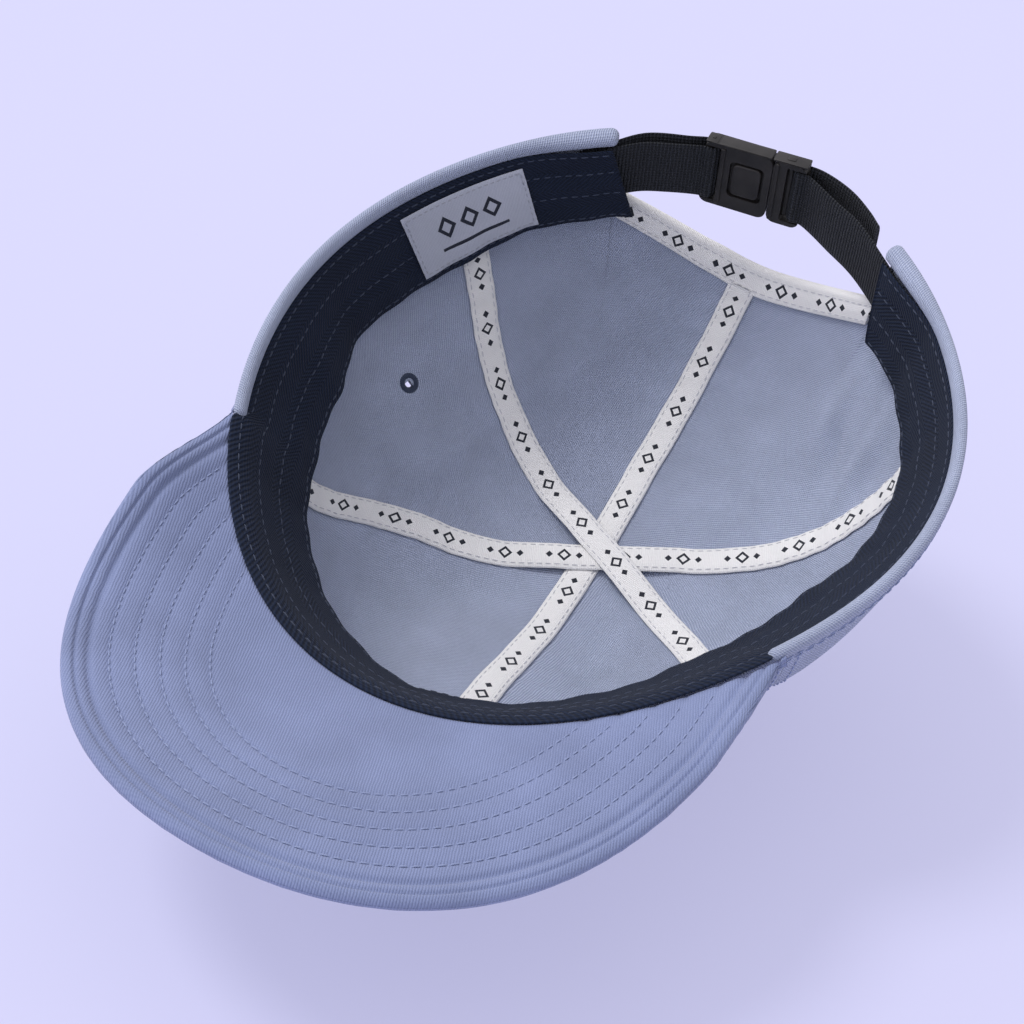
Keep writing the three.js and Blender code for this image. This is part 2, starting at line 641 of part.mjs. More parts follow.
// A plate as a solid, at a place in the buckle's own frame, which leans with the strap
function plateAt(x, y, geometry) {
  geometry.translate(x, y, 0).rotateZ(rad(BUCKLE_TURN)).rotateX(-Math.atan(STRAP_LEAN));
  return solid(geometry.translate(BUCKLE_MIDDLE.x, BUCKLE_MIDDLE.y, BUCKLE_MIDDLE.z));
}

// A slot for the strap beside an end bar, with the bar thinned so that the strap wraps it inside the plate
function slots(sign) {
  const end = sign * BUCKLE_LENGTH / 2;
  const height = WEBBING_WIDTH + 4 * GAP;
  const slot = roundedPlate(SLOT_WIDTH, height, BUCKLE_THICK * 2, SLOT_CORNER);
  const slotX = end - sign * (END_BAR + SLOT_WIDTH / 2);
  const relief = roundedPlate(END_BAR * 2 + SLOT_WIDTH, height, BUCKLE_THICK, SLOT_CORNER);
  const reliefSide = (BUCKLE_THICK + BAR_THICK) / 2;
  return plateAt(slotX, 0, slot)
    .add(plateAt(end, reliefSide, relief.clone()))
    .add(plateAt(end, -reliefSide, relief.clone()));
}

function buckleSocket() {
  const length = BUCKLE_LENGTH / 2 + BUCKLE_SPLIT;
  const middle = -BUCKLE_LENGTH / 2 + length / 2;
  const plate = plateAt(middle, 0, roundedPlate(length, BUCKLE_HEIGHT, BUCKLE_THICK, BUCKLE_CORNER));
  const recess = roundedPlate(RECESS_LENGTH, RECESS_HEIGHT, RECESS_DEPTH * 2, RECESS_CORNER);
  const recessX = BUCKLE_SPLIT - RECESS_LENGTH / 2 - RECESS_FROM_SPLIT;
  const body = plate.subtract(slots(-1)).subtract(plateAt(recessX, -BUCKLE_THICK / 2, recess));
  return piece('buckle_socket', geometryOf(body), BUCKLE_BLACK);
}

function bucklePlug() {
  const length = BUCKLE_LENGTH / 2 - BUCKLE_SPLIT - GAP;
  const middle = BUCKLE_LENGTH / 2 - length / 2;
  const plate = plateAt(middle, 0, roundedPlate(length, BUCKLE_HEIGHT, BUCKLE_THICK, BUCKLE_CORNER));
  return piece('buckle_plug', geometryOf(plate.subtract(slots(1))), BUCKLE_BLACK);
}

// The covered button, on the outside at the crown's top
function button() {
  const profile = [[0, 0], [0.86, 0], [1, 0.28], [0.86, 0.66], [0.5, 0.93], [0, 1]];
  const points = profile.map(([out, up]) => new THREE.Vector2(out * BUTTON_RADIUS, up * BUTTON_HEIGHT));
  const geometry = new THREE.LatheGeometry(points, 16);
  const down = crownNormal(0, 0.03);
  const turn = new THREE.Quaternion().setFromUnitVectors(new THREE.Vector3(0, 1, 0), down);
  const place = crownPoint(0, 0.001).addScaledVector(down, CLOTH + BUTTON_CLEARANCE);
  geometry.applyQuaternion(turn).translate(place.x, place.y, place.z);
  return piece('button', geometry, CLOTH_BLUE);
}

function buildCap() {
  const cap = new THREE.Group();
  cap.add(...PANELS.map(panel));
  cap.add(eyelet('eyelet_left', -EYELET_ANGLE), eyelet('eyelet_right', EYELET_ANGLE), button());
  cap.add(tape('tape_front_back', 'front', 'back', 0));
  cap.add(tape('tape_left_right', 'front_left', 'back_right', 1));
  cap.add(tape('tape_right_left', 'front_right', 'back_left', 2));
  cap.add(archTape(), sweatband(), label());
  cap.add(peakLayer('peak_under', 0), peakLayer('peak_top', PEAK_LAYER + GAP));
  cap.add(strap('strap_left', -1, 180 + OPENING_HALF_ANGLE + STRAP_TUCK_ANGLE));
  cap.add(strap('strap_right', 1, 180 - TAIL_END_ANGLE));
  cap.add(buckleSocket(), bucklePlug());
  return cap;
}

// Tips the cap the way it lies and puts the origin under the middle of its box, on the floor
function settle(cap) {
  const lying = new THREE.Group();
  cap.rotation.x = rad(LYING_TILT);
  lying.add(cap);
  lying.updateMatrixWorld(true);
  const box = new THREE.Box3().setFromObject(lying, true);
  const middle = box.getCenter(new THREE.Vector3());
  lying.position.set(-middle.x, -middle.y, -box.min.z);
  return lying;
}

export default settle(buildCap());
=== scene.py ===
"""Looks for a soft six panel cap that lies mouth up on its crown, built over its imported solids.

Lengths in the classes are millimetres in the cap's own frame: the mouth is level, the peak points to -Y, the
wearer's right is +X and the crown hangs below the rim. Angles run round the mouth in degrees, from the front
towards +X, and a level runs from 0 at the crown's top to 1 at the rim. Meshes are turned into the shared
frame, in metres, as they are made.
"""

import logging
import math
from dataclasses import dataclass
from enum import Enum
from functools import cached_property

import bpy
import numpy as np
from mathutils import Matrix


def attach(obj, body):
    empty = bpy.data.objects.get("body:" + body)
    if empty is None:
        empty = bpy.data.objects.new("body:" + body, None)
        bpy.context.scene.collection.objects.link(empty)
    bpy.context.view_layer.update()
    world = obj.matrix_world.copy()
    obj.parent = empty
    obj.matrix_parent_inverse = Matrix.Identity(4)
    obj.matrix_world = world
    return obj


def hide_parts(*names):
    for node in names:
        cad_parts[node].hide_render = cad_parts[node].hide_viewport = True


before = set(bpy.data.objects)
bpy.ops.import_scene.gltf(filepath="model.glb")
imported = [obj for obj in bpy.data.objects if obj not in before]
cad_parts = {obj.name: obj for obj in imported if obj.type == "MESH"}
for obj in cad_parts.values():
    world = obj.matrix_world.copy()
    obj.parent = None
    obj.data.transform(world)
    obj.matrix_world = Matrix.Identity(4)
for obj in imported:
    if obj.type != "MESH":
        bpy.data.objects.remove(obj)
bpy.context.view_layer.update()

Array = np.ndarray
Tree = bpy.types.NodeTree
Source = bpy.types.NodeSocket | bpy.types.Node
Inputs = dict[int | str, object]
log = logging.getLogger("cap")

CLOTH = 1.2
GAP = 0.3
ROOT = "root"

SEAMS: dict[str, tuple[float, float, float, float]] = {
    # angle at the top, at one and two thirds of the way up the wall, and at the rim
    "back_left": (-116.5, -119, -124, -125.5),
    "front_left": (-51, -63.7, -59.7, -59.5),
    "front": (0, 0.5, 1.5, 1),
    "front_right": (69, 63.8, 61, 60),
    "back_right": (109, 114, 119, 122),
    "back": (185.5, 183, 180.5, 180),
}

DENTS: tuple[tuple[float, float, float, float, float], ...] = (
    # middle angle and level, spread in degrees and in level, depth as a share of the crown's
    (78, 0.72, 34, 0.2, 0.13),
    (-89, 0.42, 20, 0.12, 0.07),
    (141, 0.62, 9, 0.09, 0.04),
)

FOLDS: tuple[tuple[float, float, float, float, float, float], ...] = (
    # middle angle and level, half length and half width in mm, slant in degrees, depth in mm (inwards positive)
    (-97, 0.40, 16, 5, 15, 1.3),
    (-80, 0.34, 13, 3.5, -35, -0.9),
    (-108, 0.50, 12, 3.5, 60, 0.8),
    (131, 0.60, 16, 3.4, 68, 2.9),
    (139, 0.52, 14, 3.4, 60, -2.2),
    (147, 0.60, 13, 3.4, 80, 2.0),
    (88, 0.55, 18, 5, 10, -1.0),
    (70, 0.78, 24, 15, 0, -4.0),
    (64, 0.66, 12, 4, -20, 0.8),
    (20, 0.30, 18, 6, 70, -0.7),
    (-28, 0.45, 20, 6, 30, 0.8),
    (-20, 0.62, 16, 5, -25, -0.7),
    (165, 0.34, 20, 7, 20, 0.6),
    (-150, 0.42, 22, 7, -30, 0.8),
    (-140, 0.25, 16, 6, 40, -0.5),
    (35, 0.62, 18, 5, 20, 0.9),
)


def linear(hex_colour: str) -> tuple[float, float, float, float]:
    """Turns an sRGB hex colour to linear.

    Args:
        hex_colour: six hex digits.

    Returns:
        Linear red, green, blue and an alpha of one.
    """
    parts = [int(hex_colour[i : i + 2], 16) / 255 for i in (0, 2, 4)]
    red, green, blue = (c / 12.92 if c <= 0.04045 else ((c + 0.055) / 1.055) ** 2.4 for c in parts)
    return red, green, blue, 1.0


def ease(x: Array | float, low: float, high: float) -> Array:
    """Rises smoothly from 0 at low to 1 at high."""
    t = np.clip((np.asarray(x, float) - low) / (high - low), 0, 1)
    return t * t * (3 - 2 * t)


def window(x: Array, span: tuple[float, float, float, float]) -> Array:
    """Rises from 0 to 1 between the span's first two values and falls back between its last two."""
    return ease(x, span[0], span[1]) * (1 - ease(x, span[2], span[3]))


def unit(v: Array) -> Array:
    """Returns vectors made one long."""
    return v / np.maximum(np.linalg.norm(v, axis=-1, keepdims=True), 1e-9)


def outward(angle: Array) -> Array:
    """Returns level unit vectors away from the middle at these angles."""
    t = np.radians(angle)
    return np.stack([np.sin(t), -np.cos(t), np.zeros_like(t)], -1)


def between(rows: tuple[tuple[float, float], ...], x: Array) -> Array:
    """Reads a two-column table at x, eased from row to row.

    Args:
        rows: the table, rising in its first column.
        x: where to read it.

    Returns:
        The second column's values at x.
    """
    xs, ys = (np.array(column, float) for column in zip(*rows))
    k = np.clip(np.searchsorted(xs, x) - 1, 0, len(xs) - 2)
    t = np.clip((x - xs[k]) / (xs[k + 1] - xs[k]), 0, 1)
    return ys[k] + (ys[k + 1] - ys[k]) * t * t * (3 - 2 * t)


def centripetal(points: Array, count: int) -> Array:
    """Runs a smooth curve through points.

    Args:
        points: the points, one a row.
        count: how many evenly spaced points to return.

    Returns:
        Points on the curve.
    """
    ends = np.vstack([2 * points[0] - points[1], points, 2 * points[-1] - points[-2]])
    knots = np.concatenate([[0], np.cumsum(np.sqrt(np.linalg.norm(np.diff(ends, axis=0), axis=1)))])
    fine = []
    for i in range(1, len(ends) - 2):
        t = np.linspace(knots[i], knots[i + 1], 24, endpoint=i == len(ends) - 3)[:, None]
        k, p = knots[i - 1 : i + 3], ends[i - 1 : i + 3]
        level = list(p)
        for step in (1, 2, 3):
            level = [
                (level[j] * (k[j + step] - t) + level[j + 1] * (t - k[j])) / (k[j + step] - k[j])
                if step < 3 else
                (level[j] * (k[2] - t) + level[j + 1] * (t - k[1])) / (k[2] - k[1])
                for j in range(4 - step)
            ]
        fine.append(level[0])
    return resample(np.vstack(fine), count)


def resample(line: Array, count: int) -> Array:
    """Returns a line's points spaced evenly along it."""
    run = run_along(line)
    at = np.linspace(0, run[-1], count)
    return np.stack([np.interp(at, run, line[:, k]) for k in range(line.shape[1])], -1)


def run_along(grid: Array, axis: int = 0) -> Array:
    """Returns how far each point of a line or grid is along that axis, in mm from its first."""
    steps = np.linalg.norm(np.diff(grid, axis=axis), axis=-1)
    pad = [(0, 0)] * steps.ndim
    pad[axis] = (1, 0)
    return np.cumsum(np.pad(steps, pad), axis=axis)


def spread(*values: Array | float) -> list[Array]:
    """Returns the values as arrays of one shape."""
    return [np.array(value, float) for value in np.broadcast_arrays(*values)]


def pair(first: Array, second: Array) -> Array:
    """Returns two coordinates side by side."""
    return np.stack(np.broadcast_arrays(first, second), -1)


def closer_ends(count: int) -> Array:
    """Returns shares from 0 to 1 that stand closer at both ends."""
    return 0.5 - 0.5 * np.cos(np.linspace(0, np.pi, count))


def edge_to_edge(count: int) -> Array:
    """Returns places from just over -1 to just under 1 that stand closer at both ends."""
    return -0.9995 * np.cos(np.linspace(0, np.pi, count))


def bell(x: Array, middle: float, width: float) -> Array:
    """Returns a bell curve of height 1."""
    return np.exp(-(((x - middle) / width) ** 2))


def apart(angle: Array, middle: Array | float) -> Array:
    """Returns how far an angle is from a middle one, from -180 to 180 degrees."""
    return (angle - middle + 180) % 360 - 180


def tube_faces(at: Array, sign: int) -> list[list[int]]:
    """Returns the faces between rings of vertices.

    Args:
        at: vertex numbers, by ring and by place round it.
        sign: 1 or -1, the way that the rings turn.

    Returns:
        Four vertex numbers for each face.
    """
    near, far = at[..., :-1, :], at[..., 1:, :]
    near_next, far_next = (np.roll(ring, -1, axis=-1) for ring in (near, far))
    order = (near, far, far_next, near_next) if sign > 0 else (near, near_next, far_next, far)
    return np.stack(order, -1).reshape(-1, 4).tolist()


@dataclass(frozen=True)
class CapForm:
    """The sewn and settled form of the cloth, which every piece is laid on."""

    half_length: float = 96.4
    half_width: float = 86
    squareness: float = 1.6
    skew: float = 1.7
    twist: float = 1.1
    front_lift: float = 0.7
    side_lift: float = 1.9
    warp: float = 1.4
    depth: float = 77.5
    top_aside: float = -2.1
    top_back: float = 4
    plan_fullness: float = 2.36
    wall_fullness: float = 2.32
    lying_tilt: float = 24
    pressed_flat: float = 4.5
    press_blend: float = 3
    opening_half_angle: float = 27
    opening_side_depth: float = 20.5
    opening_middle_depth: float = 36.5
    opening_roundness: float = 0.9
    hub_radius: float = 2.2
    wall_run: float = 125
    pucker_deep: float = 0.22
    pucker_every: float = 7.5
    pucker_reach: float = 6.5
    pucker_aside: float = 4.5
    pucker_slant: float = 0.16
    pucker_shift: float = 1.7
    pucker_levels: tuple[float, float, float, float] = (0.12, 0.3, 0.8, 0.95)
    ripple: tuple[float, float, float] = (0.28, 5, 9)
    fold_levels: tuple[float, float, float, float] = (0.1, 0.24, 0.86, 0.97)
    peak_ends: tuple[float, float] = (55, 59)
    settled_at: tuple[float, float, float] = (-0.4897, 29.4534, 81.1726)

    @cached_property
    def turn(self) -> Array:
        """The turn from the cap's own frame to the shared one."""
        t = math.radians(self.lying_tilt)
        return np.array([[1, 0, 0], [0, math.cos(t), -math.sin(t)], [0, math.sin(t), math.cos(t)]])

    @cached_property
    def floor_up(self) -> Array:
        """The floor's up, in the cap's own frame."""
        return self.turn[2]

    @cached_property
    def press_height(self) -> float:
        """The height below which the crown is pressed flat."""
        angle, level = np.meshgrid(np.arange(0, 360, 3.0), np.linspace(0, 1, 51))
        return float((self.sewn(angle, level) @ self.floor_up).min()) + self.pressed_flat

    def to_frame(self, points: Array) -> Array:
        """Returns points of the cap's own frame in the shared frame, in metres."""
        return (points.reshape(-1, 3) @ self.turn.T + np.array(self.settled_at)) / 1000

    def rim(self, angle: Array | float) -> Array:
        """Returns the rim's points on the cloth's inner face."""
        t = np.radians(np.asarray(angle, float))
        mean, oval = (self.half_length + self.half_width) / 2, (self.half_length - self.half_width) / 2
        radius = mean + oval * np.cos(2 * t) + self.squareness * np.cos(4 * t)
        radius = radius - self.skew * np.sin(2 * t) - self.twist * np.sin(3 * t)
        height = self.front_lift * np.cos(t) - self.side_lift * np.cos(2 * t) + self.warp * np.sin(2 * t)
        return np.stack([np.sin(t) * radius, -np.cos(t) * radius, height], -1)

    def sewn(self, angle: Array, level: Array) -> Array:
        """Returns the inner face as sewn, before it lies on anything."""
        angle, level = spread(angle, level)
        out = np.sin(level * np.pi / 2) ** (2 / self.plan_fullness)
        down = np.maximum(np.cos(level * np.pi / 2), 0) ** (2 / self.wall_fullness)
        rim = self.rim(angle)
        top = np.array([self.top_aside, self.top_back, 0])
        point = top * (1 - out[..., None]) + rim * out[..., None]
        point[..., 2] = rim[..., 2] * out * out - self.depth * down
        for middle, at, width, reach, deep in DENTS:
            aside = apart(angle, middle) / width
            along = (level - at) / reach
            inwards = self.depth * deep * np.exp(-aside * aside - along * along)
            point -= outward(angle) * inwards[..., None]
        return point

    def folds(self, angle: Array, level: Array) -> Array:
        """Returns how far folds and seam puckers push the cloth in, in mm."""
        radius = np.maximum(self.half_width * np.sin(level * np.pi / 2) ** (2 / self.plan_fullness), 1)
        deep, waves_round, waves_down = self.ripple
        pushed = deep * np.sin(np.radians(angle) * waves_round + level * waves_down) * np.sin(level * np.pi)
        for middle, at, half, width, slant, deep in FOLDS:
            x = np.radians(apart(angle, middle)) * radius
            y = (level - at) * self.wall_run
            c, s = math.cos(math.radians(slant)), math.sin(math.radians(slant))
            pushed = pushed + deep * np.exp(-((x * c + y * s) / half) ** 2 - ((y * c - x * s) / width) ** 2)
        for index, name in enumerate(SEAMS):
            aside = np.radians(apart(angle, self.seam_angle(name, level))) * radius
            phase = level * self.wall_run / self.pucker_every * 2 * np.pi + index * self.pucker_shift
            wave = self.pucker_deep * np.sin(phase + aside * self.pucker_slant)
            near = bell(np.abs(aside), self.pucker_aside, self.pucker_reach)
            pushed = pushed + wave * near * window(level, self.pucker_levels)
        return pushed * window(level, self.fold_levels)

    def crown(self, angle: Array, level: Array) -> Array:
        """Returns the inner face as it lies, pressed flat underneath."""
        angle, level = spread(angle, level)
        point = self.sewn(angle, level) - outward(angle) * self.folds(angle, level)[..., None]
        above = point @ self.floor_up - self.press_height
        blend = np.clip(above / self.press_blend, -1, 1)
        settled = np.where(blend < 1, self.press_blend * (blend + 1) ** 2 / 4, above)
        return point + (settled - above)[..., None] * self.floor_up

    def normal(self, angle: Array, level: Array) -> Array:
        """Returns the outward normal of the crown."""
        angle, level = spread(angle, level)
        step = 0.003
        low = np.minimum(level, 1 - step)
        around = self.crown(angle + 0.25, level) - self.crown(angle - 0.25, level)
        up = self.crown(angle, low + step) - self.crown(angle, np.maximum(low - step, 0))
        return unit(np.cross(around, up))

    def off(self, angle: Array, level: Array, distance: Array | float) -> Array:
        """Returns points at a distance from the inner face, outwards where positive."""
        return self.crown(angle, level) + self.normal(angle, level) * np.asarray(distance, float)[..., None]

    def level_at_depth(self, angle: Array, depth: Array) -> Array:
        """Returns the level that lies so far below the rim."""
        angle, depth = spread(angle, depth)
        low, high = np.full(angle.shape, 0.3), np.ones(angle.shape)
        top = self.rim(angle)[..., 2]
        for _ in range(24):
            middle = (low + high) / 2
            shallow = depth > top - self.sewn(angle, middle)[..., 2]
            high = np.where(shallow, middle, high)
            low = np.where(shallow, low, middle)
        return np.where(depth <= 0, 1.0, (low + high) / 2)

    def seam_angle(self, name: str, level: Array | float) -> Array:
        """Returns a seam's angle at a level."""
        stops = np.array(SEAMS[name], float)
        place = np.clip(np.asarray(level, float), 0, 1) * 3
        k = np.minimum(place.astype(int), 2)
        t = place - k
        p0, p1, p2, p3 = stops[np.maximum(k - 1, 0)], stops[k], stops[k + 1], stops[np.minimum(k + 2, 3)]
        v0, v1 = (p2 - p0) / 2, (p3 - p1) / 2
        cubic = (2 * p1 - 2 * p2 + v0 + v1) * t**3 + (-3 * p1 + 3 * p2 - 2 * v0 - v1) * t**2
        return cubic + v0 * t + p1

    def opening_depth(self, angle: Array) -> Array:
        """Returns how far below the rim the rear opening's edge runs, or 0 beside it."""
        aside = np.abs(np.asarray(angle, float) % 360 - 180) / self.opening_half_angle
        share = np.cos(np.minimum(aside, 1) * np.pi / 2) ** self.opening_roundness
        deep = self.opening_side_depth + (self.opening_middle_depth - self.opening_side_depth) * share
        return np.where(aside < 1, deep, 0)

    def under(self, x: Array, y: Array) -> tuple[Array, Array]:
        """Returns the angle and level over a place in plan, for places near the top."""
        aside = np.stack([x - self.top_aside, y - self.top_back], -1)
        angle = np.degrees(np.arctan2(x, -y))
        for _ in range(5):
            reach = self.rim(angle)[..., :2] - (self.top_aside, self.top_back)
            cross = aside[..., 1] * reach[..., 0] - aside[..., 0] * reach[..., 1]
            angle = angle + np.degrees(np.arctan2(cross, (aside * reach).sum(-1)))
        reach = self.rim(angle)[..., :2] - (self.top_aside, self.top_back)
        share = np.linalg.norm(aside, axis=-1) / np.linalg.norm(reach, axis=-1)
        level = np.arcsin(np.minimum(share, 1) ** (self.plan_fullness / 2)) * 2 / np.pi
        return angle, np.maximum(level, 0.001)

    def peak_cover(self, angle: Array) -> Array:
        """Returns 1 where the peak is sewn on and the sweatband rolls over the rim, easing to 0 beside it."""
        return 1 - ease(np.abs(angle), *self.peak_ends)


FORM = CapForm()


class Mesh:
    """Vertices, faces and weave coordinates gathered for one piece."""

    def __init__(self) -> None:
        """Starts empty."""
        self.points: list[Array] = []
        self.faces: list[tuple[int, ...]] = []
        self.uvs: list[Array] = []
        self.count = 0

    def add(self, points: Array, faces: Array | list[tuple[int, ...]], uvs: Array) -> None:
        """Adds points in the cap's own frame, their faces and their weave coordinates in mm."""
        self.points.append(points.reshape(-1, 3))
        self.uvs.append(uvs.reshape(-1, 2))
        self.faces.extend(tuple(int(i) + self.count for i in face) for face in faces)
        self.count += len(self.points[-1])

    def wrap(self, inner: Array, outer: Array, uvs: Array) -> None:
        """Adds one closed sheet between two facing grids.

        Args:
            inner: one face's points, by column and row.
            outer: the other face's points.
            uvs: weave coordinates of both faces.
        """
        columns, rows = inner.shape[:2]
        last = rows * 2 - 1
        at = np.arange(columns * rows * 2).reshape(columns, -1)
        quads = [(j, j + 1, last - 1 - j, last - j) for j in range(rows - 1)]
        caps = [[int(at[0, i]) for i in quad[::-1]] for quad in quads]
        caps += [[int(at[-1, i]) for i in quad] for quad in quads]
        loops, uvs = (np.concatenate([near, far[:, ::-1]], axis=1) for near, far in ((inner, outer), (uvs, uvs)))
        self.add(loops, [*tube_faces(at, 1), *caps], uvs)

    def tube(self, rings: Array, uvs: Array, sign: int = -1) -> None:
        """Adds tubes of rings, each closed at both ends.

        Args:
            rings: points by ring and by place round it; axes before these part the tubes.
            uvs: weave coordinates of the points.
            sign: 1 or -1, the way that the rings turn.
        """
        at = np.arange(rings[..., 0].size).reshape(rings.shape[:-1])
        first, last = (end.reshape(-1, at.shape[-1]) for end in (at[..., 0, ::sign], at[..., -1, ::-sign]))
        self.add(rings, [*tube_faces(at, sign), *first.tolist(), *last.tolist()], uvs)

    def stitches(self, line: Array, normals: Array, thread: "Thread") -> None:
        """Sews a row of stitches along a line.

        Args:
            line: points on the cloth, in order.
            normals: the cloth's normals there.
            thread: sizes of the thread and its stitches.
        """
        run = run_along(line)
        count = int(run[-1] // thread.pitch)
        if count < 1:
            return
        middle = (np.arange(count) + 0.5) * run[-1] / count
        # four rings of five make a stitch; its ends are thinner and dip into the cloth
        along = np.array([-1, -0.55, 0.55, 1.0]) * thread.stitch / 2
        thin, lift = np.array([0.45, 1, 1, 0.45]), np.array([-0.35, 0.6, 0.6, -0.35])
        at = middle[:, None] + along
        centre, up = (np.stack([np.interp(at, run, part[:, i]) for i in range(3)], -1) for part in (line, normals))
        up = unit(up)
        side = unit(np.cross(unit(centre[:, -1:] - centre[:, :1]), up))
        turn = np.arange(5) * 2 * np.pi / 5
        ring = side[:, :, None] * np.cos(turn)[:, None] + up[:, :, None] * np.sin(turn)[:, None]
        radius = thread.radius * thin[None, :, None, None]
        points = (centre + up * (thread.radius * lift)[:, None])[:, :, None] + ring * radius
        uvs = pair(np.broadcast_to(along[:, None], points.shape[:-1]), turn * thread.radius)
        self.tube(points, uvs)

    def piece(self, name: str, finish: "Finish", slot: str, *nodes: str) -> bpy.types.Object:
        """Makes the piece, dresses it and hangs it on the part.

        Args:
            name: the piece's name.
            finish: its material.
            slot: the record's material slot; not used.
            nodes: the solids that it stands for.

        Returns:
            The new object.
        """
        mesh = bpy.data.meshes.new(name)
        mesh.from_pydata(FORM.to_frame(np.vstack(self.points)).tolist(), [], self.faces)
        loops = np.zeros(len(mesh.loops), np.int32)
        mesh.loops.foreach_get("vertex_index", loops)
        layer = mesh.uv_layers.new(name="cloth")
        layer.data.foreach_set("uv", np.vstack(self.uvs)[loops].astype(np.float32).ravel())
        mesh.polygons.foreach_set("use_smooth", np.ones(len(mesh.polygons), bool))
        mesh.update()
        made = bpy.data.objects.new(name, mesh)
        bpy.context.scene.collection.objects.link(made)
        made.data.materials.append(finish.material())
        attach(made, ROOT)
        if nodes:
            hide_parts(*nodes)
        log.info("%s: %d faces", name, len(mesh.polygons))
        return made


def node(tree: Tree, kind: str, inputs: Inputs | None = None, **settings: object) -> bpy.types.Node:
    """Adds a node.

    Args:
        tree: the node tree.
        kind: the node's type, after "ShaderNode".
        inputs: by input name or number, a value, a socket to link, or a node whose first output is linked.
        settings: the node's own properties.

    Returns:
        The new node.
    """
    made = tree.nodes.new(f"ShaderNode{kind}")
    for key, value in settings.items():
        setattr(made, key, value)
    for key, value in (inputs or {}).items():
        if isinstance(value, Source):
            tree.links.new(value.outputs[0] if isinstance(value, bpy.types.Node) else value, made.inputs[key])
        else:
            made.inputs[key].default_value = value
    return made


class Motif(Enum):
    """What is printed or woven on a tape or label."""

    NONE = "bare"
    TAPE = "a diamond between two small ones, repeated along a tape"
    LABEL = "three diamonds over a line, in the middle of a label"


@dataclass(frozen=True)
class Finish:
    """A material made of nodes."""

    name: str

    def surface(self, tree: Tree) -> Inputs:
        """Adds the finish's own nodes.

        Args:
            tree: the material's node tree.

        Returns:
            What goes into the shader, by input name.
        """
        raise NotImplementedError

    def material(self) -> bpy.types.Material:
        """Returns the material, made the first time it is asked for."""
        found = bpy.data.materials.get(self.name)
        if found:
            return found
        made = bpy.data.materials.new(self.name)
        made.use_nodes = True
        made.node_tree.nodes.clear()
        shader = node(made.node_tree, "BsdfPrincipled", self.surface(made.node_tree))
        node(made.node_tree, "OutputMaterial", {"Surface": shader})
        return made


